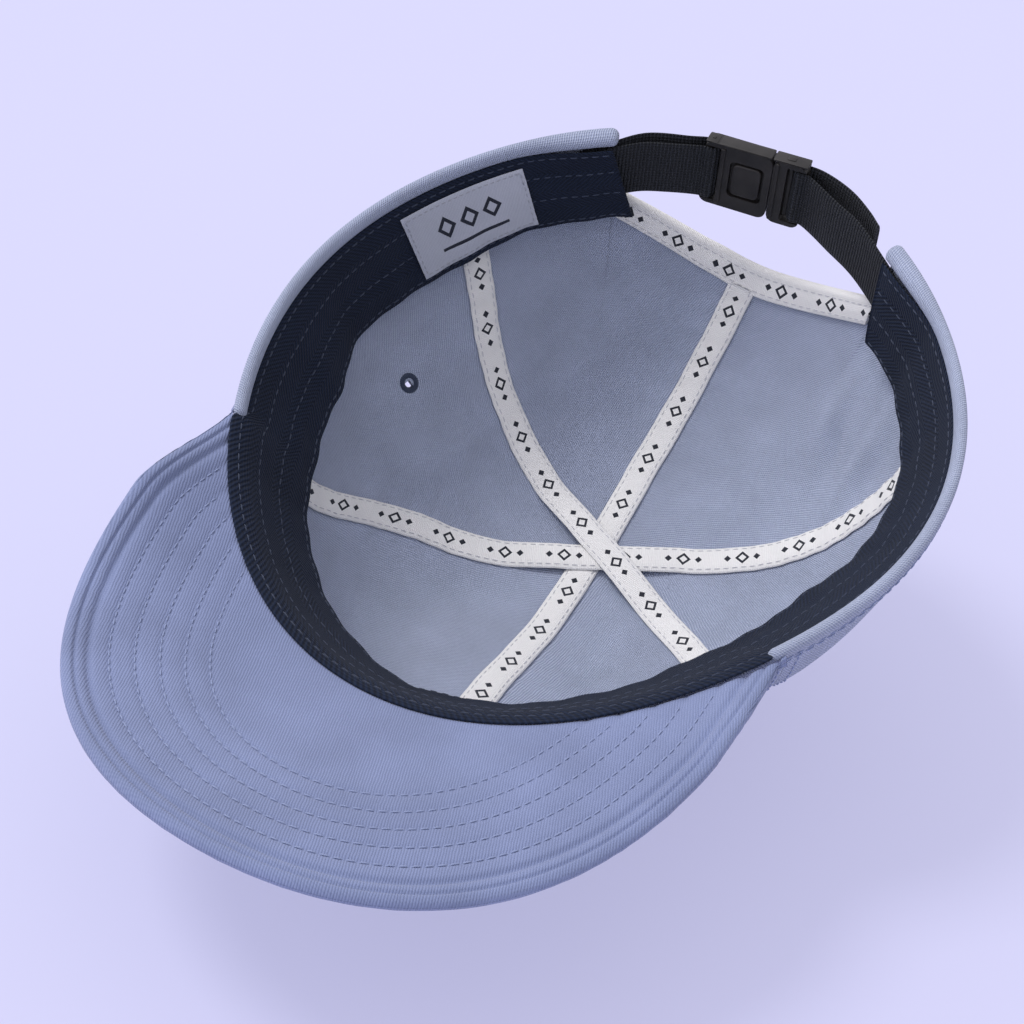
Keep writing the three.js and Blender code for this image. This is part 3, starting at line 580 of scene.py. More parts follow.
@dataclass(frozen=True)
class Woven(Finish):
    """A cloth woven of two sets of threads, by its wales and threads in mm."""

    warp: str
    weft: str
    wale: float
    thread: float
    relief: float
    slope: float = 58
    herringbone: float = 0
    mottle: float = 0.12
    roughness: float = 0.9
    sheen: float = 0.25
    motif: Motif = Motif.NONE
    ink: str = "2A2D36"

    def stripes(self, tree: Tree, along: Source, period: float) -> Source:
        """Returns a wave from -1 to 1 that repeats every period mm."""
        phase = node(tree, "Math", {0: along, 1: 2 * math.pi / period}, operation="MULTIPLY")
        return node(tree, "Math", {0: phase}, operation="SINE")

    def diamond(self, tree: Tree, x: Source, y: Source, half: float, bore: float) -> Source:
        """Returns 1 inside a diamond of that half size, with a hole of bore times its size, and 0 outside."""
        across, up = (node(tree, "Math", {0: way}, operation="ABSOLUTE") for way in (x, y))
        away = node(tree, "Math", {0: across, 1: up}, operation="ADD")
        inside = node(tree, "Math", {0: away, 1: half}, operation="LESS_THAN")
        beyond = node(tree, "Math", {0: away, 1: half * bore}, operation="GREATER_THAN")
        return node(tree, "Math", {0: inside, 1: beyond}, operation="MULTIPLY")

    def print_mask(self, tree: Tree, x: Source, y: Source) -> Source:
        """Returns where the motif's ink is."""
        if self.motif is Motif.TAPE:
            local = node(tree, "Math", {0: x, 1: 8.5, 2: -8.5}, operation="WRAP")
            far = node(tree, "Math", {0: local}, operation="ABSOLUTE")
            beside = node(tree, "Math", {0: far, 1: 4.3}, operation="SUBTRACT")
            large, small = self.diamond(tree, local, y, 2.1, 0.55), self.diamond(tree, beside, y, 1.05, 0)
            return node(tree, "Math", {0: large, 1: small}, operation="ADD", use_clamp=True)
        local = node(tree, "Math", {0: x, 1: 4.2, 2: -4.2}, operation="WRAP")
        lifted = node(tree, "Math", {0: y, 1: 1.8}, operation="SUBTRACT")
        row = self.diamond(tree, local, lifted, 3.5, 0.55)
        wide = node(tree, "Math", {0: x}, operation="ABSOLUTE")
        within = node(tree, "Math", {0: wide, 1: 12.4}, operation="LESS_THAN")
        low = node(tree, "Math", {0: y, 1: -4.6}, operation="SUBTRACT")
        thin = node(tree, "Math", {0: low}, operation="ABSOLUTE")
        line = node(tree, "Math", {0: thin, 1: 0.45}, operation="LESS_THAN")
        both = node(tree, "Math", {0: row, 1: line}, operation="ADD", use_clamp=True)
        return node(tree, "Math", {0: both, 1: within}, operation="MULTIPLY")

    def surface(self, tree: Tree) -> Inputs:
        """Adds wales, threads, mottling and any motif. Returns what goes into the shader, by input name."""
        place = node(tree, "UVMap", uv_map="cloth")
        drift = node(tree, "TexNoise", {"Vector": place, "Scale": 0.35, "Detail": 2.0})
        x, y = node(tree, "SeparateXYZ", {0: place}).outputs[:2]
        crossing = y
        if self.herringbone:
            crossing = node(tree, "Math", {0: y, 1: self.herringbone}, operation="PINGPONG")
        slope = math.radians(self.slope)
        along = node(tree, "Math", {0: x, 1: math.sin(slope)}, operation="MULTIPLY")
        diagonal = node(tree, "Math", {0: crossing, 1: math.cos(slope), 2: along}, operation="MULTIPLY_ADD")
        wavered = node(tree, "Math", {0: drift, 1: 0.5, 2: diagonal}, operation="MULTIPLY_ADD")
        wale, yarn = self.stripes(tree, wavered, self.wale), self.stripes(tree, y, self.thread)
        yarn_soft = node(tree, "Math", {0: yarn, 1: 0.45}, operation="MULTIPLY")
        weave = node(tree, "Math", {0: wale, 1: yarn_soft}, operation="ADD")
        slub = node(tree, "TexNoise", {"Vector": place, "Scale": 1.1, "Detail": 4.0, "Roughness": 0.7})
        height = node(tree, "Math", {0: slub, 1: 1.6, 2: weave}, operation="MULTIPLY_ADD")
        share = node(tree, "MapRange", {"Value": height, "From Min": -0.9, "From Max": 2.5})
        mixed = node(tree, "Mix", {0: share, 6: linear(self.warp), 7: linear(self.weft)}, data_type="RGBA")
        cloudy = node(tree, "TexNoise", {"Vector": place, "Scale": 0.05, "Detail": 3.0})
        shades = {"From Min": 0.3, "From Max": 0.7, "To Min": 1 - self.mottle, "To Max": 1 + self.mottle / 2}
        level = node(tree, "MapRange", {"Value": cloudy, **shades})
        colour = node(tree, "HueSaturation", {"Value": level, "Color": mixed.outputs[2]}).outputs[0]
        if self.motif is not Motif.NONE:
            mask = self.print_mask(tree, x, y)
            colour = node(tree, "Mix", {0: mask, 6: colour, 7: linear(self.ink)}, data_type="RGBA").outputs[2]
        bump = node(tree, "Bump", {"Strength": 1.0, "Distance": self.relief / 1000, "Height": height})
        return {
            "Base Color": colour, "Normal": bump, "Roughness": self.roughness,
            "Sheen Weight": self.sheen, "Sheen Roughness": 0.5, "Specular IOR Level": 0.25,
        }


@dataclass(frozen=True)
class Yarn(Finish):
    """Spun polyester sewing thread, two plies twisted, with a soft shine."""

    colour: str
    ply: float = 0.55

    def surface(self, tree: Tree) -> Inputs:
        """Adds the plies' twist as bumps, with painted shade and highlight along it. Returns what goes into the
        shader, by input name.
        """
        place = node(tree, "UVMap", uv_map="cloth")
        wave = {"Vector": place, "Scale": 1 / self.ply, "Distortion": 0.6}
        bands = node(tree, "TexWave", wave, bands_direction="DIAGONAL").outputs[1]
        # painted shade in the grooves between the plies and a painted highlight on their crests
        shade = node(tree, "MapRange", {"Value": bands, "To Min": 0.78, "To Max": 1.06})
        colour = node(tree, "HueSaturation", {"Value": shade, "Color": linear(self.colour)})
        bump = node(tree, "Bump", {"Strength": 0.6, "Distance": 0.00006, "Height": bands})
        return {"Base Color": colour, "Normal": bump, "Roughness": 0.6, "Sheen Weight": 0.2}


@dataclass(frozen=True)
class Moulded(Finish):
    """Acetal, injection moulded in a spark-eroded tool: a fine matte grain and slightly worn patches."""

    colour: str = "1B1918"
    worn: str = "302D2B"
    grain: float = 0.35
    roughness: float = 0.46

    def surface(self, tree: Tree) -> Inputs:
        """Adds the grain and its uneven shine. Returns what goes into the shader, by input name."""
        place = node(tree, "TexCoord").outputs["Object"]
        grain = node(tree, "TexNoise", {"Vector": place, "Scale": 1000 / self.grain, "Detail": 2.0})
        cloud = node(tree, "TexNoise", {"Vector": place, "Scale": 160.0, "Detail": 3.0})
        share = node(tree, "MapRange", {"Value": cloud, "From Min": 0.35, "From Max": 0.8})
        colour = node(tree, "Mix", {0: share, 6: linear(self.colour), 7: linear(self.worn)}, data_type="RGBA")
        shine = {"To Min": self.roughness - 0.06, "To Max": self.roughness + 0.08}
        rough = node(tree, "MapRange", {"Value": cloud, **shine})
        bump = node(tree, "Bump", {"Strength": 0.5, "Distance": 0.00005, "Height": grain})
        return {"Base Color": colour.outputs[2], "Normal": bump, "Roughness": rough, "IOR": 1.48}


@dataclass(frozen=True)
class Painted(Finish):
    """Matte painted board with a glow of its own, for the floor: its shadow stays pale."""

    colour: str = "9999AE"
    glow: str = "DCDBFE"
    glow_strength: float = 0.5

    def surface(self, tree: Tree) -> Inputs:
        """Adds the roller's faint unevenness. Returns what goes into the shader, by input name."""
        place = node(tree, "TexCoord").outputs["Object"]
        cloud = node(tree, "TexNoise", {"Vector": place, "Scale": 3.0, "Detail": 3.0})
        shade = node(tree, "MapRange", {"Value": cloud, "To Min": 0.992, "To Max": 1.008})
        colour = node(tree, "HueSaturation", {"Value": shade, "Color": linear(self.colour)})
        return {
            "Base Color": colour, "Roughness": 0.95, "Specular IOR Level": 0.0,
            # painted light: the board glows by itself, which lifts the cap's cast shadow on it
            "Emission Color": linear(self.glow), "Emission Strength": self.glow_strength,
        }


# Brushed cotton twill, yarn dyed: blue-grey warp over a paler weft, with a dry, powdery look. Real wales are
# about 0.4 mm apart; they are drawn at 0.6 mm so that they show.
CAP_TWILL = Woven("cotton_twill_blue_grey", warp="8994B2", weft="C2CBE0", wale=0.6, thread=0.52, relief=0.1)
PEAK_TWILL = Woven(
    "cotton_twill_peak", warp="7783A8", weft="8B96BA", wale=0.58, thread=0.52, slope=66, relief=0.05
)
# Cotton herringbone, piece dyed navy: wales turn every 7 mm and catch the light in turn. They are drawn at
# 0.95 mm, about twice as coarse as real ones, so that they show.
BAND_HERRINGBONE = Woven(
    "cotton_herringbone_navy", warp="0C1320", weft="1C2840", wale=0.95, slope=42, thread=0.6,
    herringbone=7, relief=0.12, mottle=0.15, sheen=0.03,
)
# Polyester taffeta tape: close plain weave, nearly smooth, printed. Its threads are drawn at 0.5 mm, about
# three times as coarse as real ones.
SEAM_TAPE = Woven(
    "taffeta_tape_white", warp="EFEEEC", weft="FBFAF8", wale=0.5, slope=90, thread=0.5, relief=0.05,
    mottle=0.03, roughness=0.75, sheen=0.1, motif=Motif.TAPE,
)
# Damask label: satin weave in light grey, the motif woven in, its threads as coarse as the tapes'.
LABEL_DAMASK = Woven(
    "damask_label_grey", warp="B1B5C4", weft="CBCFDA", wale=0.5, slope=80, thread=0.45, relief=0.05,
    mottle=0.05, roughness=0.6, sheen=0.15, motif=Motif.LABEL, ink="1C2130",
)
# Polypropylene webbing: heavy ribs across its length, dull with a slight glint on each rib.
WEBBING_RIB = Woven(
    "ribbed_webbing_charcoal", warp="111316", weft="35383F", wale=1.0, slope=90, thread=0.9, relief=0.26,
    mottle=0.1, roughness=0.65, sheen=0.03,
)
BLUE_THREAD = Yarn("sewing_thread_blue", colour="94A1C6")
NAVY_THREAD = Yarn("sewing_thread_navy", colour="2B3852")
WHITE_THREAD = Yarn("sewing_thread_white", colour="D3D3D8")
GREY_THREAD = Yarn("sewing_thread_grey", colour="A9ADB8")
BUCKLE_ACETAL = Moulded("moulded_acetal_black_brown")


@dataclass(frozen=True)
class Thread:
    """A sewing thread's radius and its stitches' length and pitch."""

    radius: float = 0.2
    stitch: float = 2.3
    pitch: float = 3.1


def edge_round(rows: Array, reach: float, most: float = 0.999) -> Array:
    """Rounds a sheet's edge off.

    Args:
        rows: how far in from the edge each row is.
        reach: how far in the rounding reaches.
        most: how far it goes, where 1 would leave no thickness.

    Returns:
        The half thickness of each row, as a share of the full one.
    """
    return np.sqrt(1 - np.clip(1 - rows / reach, 0, most) ** 2)


@dataclass
class Crown:
    """The six cloth panels, their seams and the stitches beside them."""

    columns: int = 44
    rows: int = 58
    seam_valley: float = 0.6
    seam_reach: float = 1.1
    rim_reach: float = 0.006
    topstitch_aside: float = 2.4
    thread: Thread = Thread()
    corner_step: float = 0.012
    order: tuple[str, ...] = ("back_left", "front_left", "front", "front_right", "back_right", "back")
    names: tuple[str, ...] = (
        "panel_side_left", "panel_front_left", "panel_front_right", "panel_side_right",
        "panel_back_right", "panel_back_left",
    )
    hem_reach: tuple[float, float] = (55.8, 153.7)
    hem_end: float = 0.014
    hem_over_strap: float = 1.3
    strap_reach: tuple[float, float] = (133, 149)
    peak_edge_depth: float = 1.6
    seam_gap: float = 0.08
    hem_bulge: tuple[float, float, float] = (0.35, 2.2, 1.6)
    rim_rows: tuple[float, float] = (3.4, 5.2)
    rim_rows_end: float = 1.5
    topstitch_levels: tuple[float, float] = (0.16, 0.02)
    stitch_raised: tuple[float, float] = (0.03, 0.2)
    hem_section: tuple[tuple[float, float], ...] = (
        # depth below the rim and distance out from the cloth's inner face
        (3.3, 1.25), (2.4, 1.55), (1.4, 1.65), (0.5, 1.55), (-0.15, 1.2), (-0.5, 0.6), (-0.5, -0.2),
        (-0.1, -0.85), (0.6, -1.3), (1.5, -1.5), (2.4, -1.5), (3.0, -1.3), (3.2, -0.9), (3.0, 0.2),
    )

    def edge_level(self, angle: Array) -> Array:
        """Returns the level of the cloth's edge: the rim, lower where the band rolls over it, or the opening."""
        depth = np.maximum(FORM.opening_depth(angle), self.peak_edge_depth * FORM.peak_cover(apart(angle, 0)))
        return FORM.level_at_depth(angle, depth)

    def shares(self, start: float, end: float) -> Array:
        """Returns where a panel's columns stand across it, with a close pair at the opening's side."""
        wave = np.cos(np.linspace(0, np.pi, self.columns + 1))
        even = 0.5 - 0.5 * wave * (0.75 + 0.25 * np.abs(wave))
        for corner in (180 - FORM.opening_half_angle, 180 + FORM.opening_half_angle):
            share = (corner - start) / (end - start)
            if 0 < share < 1:
                nearest = int(np.abs(even - share).argmin())
                side = 1 if corner < 180 else -1
                even[nearest] = share
                even[nearest + side] = share + side * self.corner_step
        return even

    def panel(self, name: str, start: str, end: str) -> None:
        """Builds one panel between two seams.

        Args:
            name: the solid's name.
            start: the seam at its lower angle.
            end: the seam at its higher angle.
        """
        turn = 360 if SEAMS[end][3] < SEAMS[start][3] else 0
        u = self.shares(SEAMS[start][3], SEAMS[end][3] + turn)[:, None]
        tail = 1 - self.rim_reach * np.array([1, 0.6, 0.3, 0.12, 0.03, 0])
        t = np.concatenate([np.linspace(0, 1 - self.rim_reach * 2, self.rows), tail])[None, :]
        rim_angle = SEAMS[start][3] + (SEAMS[end][3] + turn - SEAMS[start][3]) * u
        hub = np.arcsin((FORM.hub_radius / FORM.half_width) ** (FORM.plan_fullness / 2)) * 2 / np.pi
        level = hub + (self.edge_level(rim_angle) - hub) * t
        low, high = FORM.seam_angle(start, level), FORM.seam_angle(end, level) + turn
        radius = np.maximum(np.linalg.norm(FORM.crown(low, level)[..., :2], axis=-1), FORM.hub_radius)
        inset = np.degrees(self.seam_gap / 2 / radius)
        angle = low + inset + (high - low - 2 * inset) * u
        base, normal = FORM.crown(angle, level), FORM.normal(angle, level)
        across, along = run_along(base, 0), run_along(base, 1)
        from_seam = np.minimum(across, across[-1:] - across)
        valley = self.seam_valley * bell(from_seam, 0, self.seam_reach)
        half = CLOTH / 2 * edge_round(1 - t, self.rim_reach)
        # a soft roll where the folded hem is thicker than the wall
        hem = self.hem_bulge[0] * bell(along[:, -1:] - along, *self.hem_bulge[1:])
        inner = base + normal * (CLOTH / 2 - half)[..., None]
        outer = base + normal * (CLOTH / 2 + half - valley + hem)[..., None]
        middle = self.columns // 2
        aside = np.radians(angle - (low + high) / 2) * np.linalg.norm(base[..., :2], axis=-1)
        mesh = Mesh()
        mesh.wrap(inner, outer, pair(aside, np.interp(level, level[middle], along[middle])))
        if name.startswith("panel_side"):
            self.punch(mesh, -1 if name.endswith("left") else 1)
        mesh.piece(f"{name}_cloth", CAP_TWILL, "cap_cloth", name)

    def punch(self, mesh: Mesh, sign: int) -> None:
        """Takes the cloth out under an eyelet's ring.

        Args:
            mesh: the panel.
            sign: the side along X.
        """
        at, level = np.array(sign * Eyelets.angle), np.array(Eyelets.level)
        away = np.vstack(mesh.points) - FORM.off(at, level, CLOTH / 2)
        up = FORM.normal(at, level)
        flat = away - (away @ up)[:, None] * up
        near = (np.linalg.norm(flat, axis=1) < Eyelets.outer - 0.3) & (np.abs(away @ up) < 3)
        mesh.faces = [face for face in mesh.faces if not all(near[i] for i in face)]

    def hem(self) -> None:
        """Rolls the cloth's turned-in edge over the rim on both sides, between the peak and the opening."""
        section = np.array(self.hem_section)
        middle = section.mean(axis=0)
        share = closer_ends(171)
        full = edge_round(np.minimum(share, 1 - share), self.hem_end, 0.98)[:, None, None]
        depth, aside = np.moveaxis(middle + (section - middle) * full, -1, 0)
        for name, sign in (("hem_left", -1), ("hem_right", 1)):
            start, end = self.hem_reach
            angle = np.broadcast_to(sign * (start + (end - start) * share)[:, None], depth.shape)
            over_strap = 1 + self.hem_over_strap * ease(np.abs(angle), *self.strap_reach)
            level = FORM.level_at_depth(angle, np.maximum(depth, 0))
            points = FORM.off(angle, level, np.where(aside < 0, aside * over_strap, aside))
            points[..., 2] += np.maximum(-depth, 0)
            mesh = Mesh()
            mesh.tube(points, pair(run_along(points[:, :1]), run_along(section)), sign)
            mesh.piece(name, CAP_TWILL, "cap_cloth")

    def seam_stitches(self) -> None:
        """Sews a row on each side of every seam, on the outside, and the rows round the rim."""
        mesh = Mesh()
        for name in self.order:
            end = float(self.edge_level(np.array(SEAMS[name][3])))
            level = np.linspace(self.topstitch_levels[0], end - self.topstitch_levels[1], 90)
            angle = FORM.seam_angle(name, level)
            radius = np.linalg.norm(FORM.crown(angle, level)[..., :2], axis=-1)
            for side in (-1, 1):
                beside = angle + side * np.degrees(self.topstitch_aside / radius)
                raised = CLOTH + self.stitch_raised[0]
                mesh.stitches(FORM.off(beside, level, raised), FORM.normal(beside, level), self.thread)
        reach = 180 - FORM.opening_half_angle - self.rim_rows_end
        round_ = np.linspace(-reach, reach, 500)
        for depth in self.rim_rows:
            level = FORM.level_at_depth(round_, np.full(round_.shape, depth))
            raised = CLOTH + self.stitch_raised[1]
            mesh.stitches(FORM.off(round_, level, raised), FORM.normal(round_, level), self.thread)
        mesh.piece("crown_stitches", BLUE_THREAD, "cap_cloth")

    def build(self) -> None:
        """Builds and dresses the crown."""
        for name, start, end in zip(self.names, self.order, self.order[1:] + self.order[:1]):
            self.panel(name, start, end)
        self.hem()
        self.seam_stitches()


@dataclass
class Eyelets:
    """The two embroidered eyelets, one in each side panel."""

    angle: float = 98.6
    level: float = 0.57
    outer: float = 3.3
    hole: float = 1.15
    thick: float = 2.0
    threads: int = 30

    def ring(self, name: str, angle: float) -> None:
        """Builds one ring of satin stitches round its hole.

        Args:
            name: the solid's name.
            angle: where it stands.
        """
        at, level = np.array(angle), np.array(self.level)
        up = FORM.normal(at, level)
        place = FORM.off(at, level, CLOTH / 2)
        side = unit(np.cross(up, [0, 0, 1.0]))
        other = np.cross(up, side)
        turn = np.linspace(0, 2 * np.pi, self.threads * 6, endpoint=False)[:, None]
        section = np.linspace(0, 2 * np.pi, 14, endpoint=False)[None, :]
        lobe = 1 + 0.07 * np.cos(turn * self.threads + 1.5 * np.cos(section))
        middle, half = (self.outer + self.hole) / 2, (self.outer - self.hole) / 2
        out = middle + half * np.cos(section) * lobe
        high = self.thick / 2 * np.sin(section) * lobe
        radial = np.cos(turn)[..., None] * side + np.sin(turn)[..., None] * other
        points = place + radial * out[..., None] + up * high[..., None]
        at = np.arange(out.size).reshape(out.shape)
        mesh = Mesh()
        mesh.add(points, tube_faces(np.vstack([at, at[:1]]), 1), pair(section * half, turn * middle))
        mesh.piece(f"{name}_threads", NAVY_THREAD, "navy_thread", name)

    def build(self) -> None:
        """Builds both eyelets."""
        self.ring("eyelet_left", -self.angle)
        self.ring("eyelet_right", self.angle)


@dataclass
class Button:
    """The covered button where the seams meet outside."""

    radius: float = 7
    height: float = 3.3
    stand_off: float = 0.35
    pleats: int = 12
    profile: tuple[tuple[float, float], ...] = (
        # shares of the radius and the height, from the middle underneath to the top
        (0.02, 0), (0.6, 0), (0.9, 0.05), (1, 0.3), (0.88, 0.64), (0.5, 0.93), (0.02, 1),
    )

    def build(self) -> None:
        """Builds a dome with the cloth gathered under its edge."""
        up = FORM.normal(np.array(0.0), np.array(0.03))
        place = FORM.crown(np.array(0.0), np.array(0.001)) + up * (CLOTH + self.stand_off)
        side = unit(np.cross(up, [1.0, 0, 0]))
        other = np.cross(up, side)
        profile = centripetal(np.array(self.profile), 30)
        turn = np.linspace(0, 2 * np.pi, 97)[:, None]
        gather = 1 + 0.02 * np.cos(turn * self.pleats) * ease(0.55 - profile[:, 1], 0, 0.5)[None, :]
        out = self.radius * profile[None, :, 0] * gather
        radial = np.cos(turn)[..., None] * side + np.sin(turn)[..., None] * other
        points = place + radial * out[..., None] + up * (self.height * profile[:, 1])[None, :, None]
        grid = np.arange(out.size).reshape(out.shape)
        faces = np.stack([grid[:-1, :-1], grid[1:, :-1], grid[1:, 1:], grid[:-1, 1:]], -1).reshape(-1, 4)
        ends = [grid[:-1, 0].tolist(), grid[:-1, -1][::-1].tolist()]
        mesh = Mesh()
        mesh.add(points, [*faces.tolist(), *ends], pair(np.cos(turn) * out, np.sin(turn) * out))
        mesh.piece("button_cloth", CAP_TWILL, "cap_cloth", "button")


@dataclass
class Tapes:
    """The white tapes over the seams and along the rear opening."""

    width: float = 8.5
    thick: float = 0.7
    end_depth: float = 24
    arch_width: float = 7
    lift_near: float = 13
    lift_far: float = 27
    layer_lift: float = 1.3
    stitch_in: float = 1.1
    top_level: float = 0.13
    wall_levels: tuple[float, float] = (0.3, 0.42)
    crowned: tuple[float, float, float] = (0.55, 0.55, 0.12)
    wobbles: tuple[tuple[float, float], ...] = ((0.12, 7.3), (0.08, 2.9))
    arch_section: tuple[tuple[float, float, float], ...] = (
        # down from the opening's edge, and in from the cloth for the shown and the hidden face, from outside
        (1.9, -1.9, -1.3), (1.0, -1.95, -1.3), (0.2, -1.9, -1.25), (-0.5, -1.4, -0.9), (-0.72, -0.6, -0.6),
        (-0.5, 0.4, -0.1), (0.2, 1.15, 0.1), (0.9, 1.2, 0.2), (1.6, 1.12, 0.3), (2.4, 1.3, 0.5), (3.6, 1.4, 0.6),
        (4.8, 1.35, 0.55), (5.8, 1.1, 0.4), (6.5, 1.1, 0.35), (6.85, 0.95, 0.4), (7.0, 0.7, 0.6),
    )
    arch_rows: tuple[float, float] = (1.5, 5.9)
    thread: Thread = Thread(radius=0.14, stitch=1.7, pitch=2.5)

    def seam_end(self, seam: str) -> float:
        """Returns the level at which a seam's tape ends."""
        angle = np.array(SEAMS[seam][3], float)
        opening = float(FORM.opening_depth(angle))
        depth = opening + self.arch_width - 1 if opening else self.end_depth
        return float(FORM.level_at_depth(angle, np.array(depth)))

    def centre_line(self, start: str, end: str) -> tuple[Array, Array]:
        """Returns the angles and levels along a tape from one seam's end over the top to the other's."""
        runs = []
        for seam in (start, end):
            level = np.linspace(self.seam_end(seam), self.top_level, 60)
            angle = FORM.seam_angle(seam, level)
            runs.append(np.column_stack([FORM.sewn(angle, level)[:, :2], angle, level]))
        before, after = runs[0], runs[1][::-1]
        # the middle third of a curve through the two ends near the top, and a point before each
        bridge = centripetal(np.vstack([before[[-9, -1], :2], after[[0, 8], :2]]), 60)[20:40]
        angle, level = FORM.under(bridge[:, 0], bridge[:, 1])
        return (
            np.concatenate([before[:, 2], angle, after[:, 2]]),
            np.concatenate([before[:, 3], level, after[:, 3]]),
        )

    def seam_tape(self, name: str, start: str, end: str, layer: int) -> Mesh:
        """Builds one tape and returns the stitches sewn through it.

        Args:
            name: the solid's name.
            start: the seam where it starts.
            end: the seam where it ends.
            layer: how many tapes lie under it at the top.
        """
        angle, level = self.centre_line(start, end)
        line = FORM.crown(angle, level)
        plan = FORM.sewn(angle, level)
        ahead = unit(np.gradient(line, axis=0))
        across = unit(np.cross(ahead, FORM.normal(angle, level)))
        a = edge_to_edge(15)
        run = run_along(line)
        (wide, slow), (narrow, quick) = self.wobbles
        wobble = wide * np.sin(run / slow + layer) + narrow * np.sin(run / quick)
        aside = a[None, :] * self.width / 2 + wobble[:, None]

        def lay(aside: Array, distance: Array) -> tuple[Array, Array]:
            """Returns points and normals beside the middle line, at a distance in from the cloth."""
            shift = across[:, None] * aside[..., None]
            near = plan[:, None] + shift
            under_angle, under_level = FORM.under(near[..., 0], near[..., 1])
            moved = line[:, None] + shift
            swing = np.arctan2(moved[..., 0], -moved[..., 1]) - np.arctan2(line[:, 0], -line[:, 1])[:, None]
            wall_angle = angle[:, None] + apart(np.degrees(swing), 0)
            wall_level = np.broadcast_to(level[:, None], aside.shape)
            share = ease(level, *self.wall_levels)[:, None, None]
            from_top = np.hypot(near[..., 0] - FORM.top_aside, near[..., 1] - FORM.top_back)
            lift = layer * self.layer_lift * (1 - ease(from_top, self.lift_near, self.lift_far))
            down = -(distance + lift)
            points = FORM.off(under_angle, under_level, down) * (1 - share)
            normals = FORM.normal(under_angle, under_level) * (1 - share)
            points = points + FORM.off(wall_angle, wall_level, down) * share
            return points, unit(normals + FORM.normal(wall_angle, wall_level) * share)

        # the seam allowance underneath lifts the middle, and the stitches pull the edges down
        base, rise, pulled = self.crowned
        crowned = base + rise * (1 - a**4) - pulled * bell(np.abs(a), 0.74, 0.1)
        half = self.thick / 2 * np.sqrt(1 - a**8)
        outer, _ = lay(aside, np.broadcast_to(crowned - half, aside.shape))
        inner, _ = lay(aside, np.broadcast_to(crowned + half, aside.shape))
        mesh = Mesh()
        mesh.wrap(inner, outer, pair(run[:, None], a * self.width / 2))
        mesh.piece(f"{name}_weave", SEAM_TAPE, "seam_tape", name)
        sewn = Mesh()
        for side in (-1, 1):
            row = np.full((len(run), 1), side * (self.width / 2 - self.stitch_in)) + wobble[:, None]
            height = float(np.interp(1 - self.stitch_in * 2 / self.width, a, crowned + half))
            points, normals = lay(row, np.full(row.shape, height))
            sewn.stitches(points[:, 0], -normals[:, 0], self.thread)
        return sewn

    def arch_tape(self) -> Mesh:
        """Builds the tape along the opening, bound over its edge, and returns its stitches."""
        reach = FORM.opening_half_angle - 0.4
        aside = np.linspace(-reach, reach, 150)
        radius = FORM.half_length
        edge = np.column_stack([np.radians(aside) * radius, FORM.opening_depth(180 + aside)])
        ahead = unit(np.gradient(edge, axis=0))
        away = np.column_stack([-ahead[:, 1], ahead[:, 0]])

        def lay(down: Array, distance: Array) -> tuple[Array, Array]:
            """Returns points and normals so far from the edge, at a distance in from the cloth."""
            place = edge[:, None] + away[:, None] * down[None, :, None]
            limit = math.radians(reach) * radius
            angle = 180 + np.degrees(np.clip(place[..., 0], -limit, limit) / radius)
            level = FORM.level_at_depth(angle, place[..., 1])
            return FORM.off(angle, level, -np.broadcast_to(distance, angle.shape)), FORM.normal(angle, level)

        down, shown, hidden = np.array(self.arch_section).T
        hidden_down = np.where(down < 0.3, np.maximum(down + 0.55, 0.05), down)
        outer, _ = lay(hidden_down, hidden)
        inner, _ = lay(down, shown)
        across = run_along(pair(down, shown))
        uv = pair(run_along(inner[:, 8:9]), across - across[10])
        mesh = Mesh()
        mesh.wrap(inner, outer, uv)
        mesh.piece("tape_arch_weave", SEAM_TAPE, "seam_tape", "tape_arch")
        sewn = Mesh()
        for row in self.arch_rows:
            points, normals = lay(np.array([row]), np.array([np.interp(row, down[6:], shown[6:]) + 0.02]))
            sewn.stitches(points[:, 0], -normals[:, 0], self.thread)
        return sewn

    def build(self) -> None:
        """Builds the four tapes and their stitches."""
        sewn = Mesh()
        for part in (
            self.seam_tape("tape_front_back", "front", "back", 0),
            self.seam_tape("tape_left_right", "front_left", "back_right", 1),
            self.seam_tape("tape_right_left", "front_right", "back_left", 2),
            self.arch_tape(),
        ):
            sewn.add(np.vstack(part.points), part.faces, np.vstack(part.uvs))
        sewn.piece("tape_stitches", WHITE_THREAD, "seam_tape")


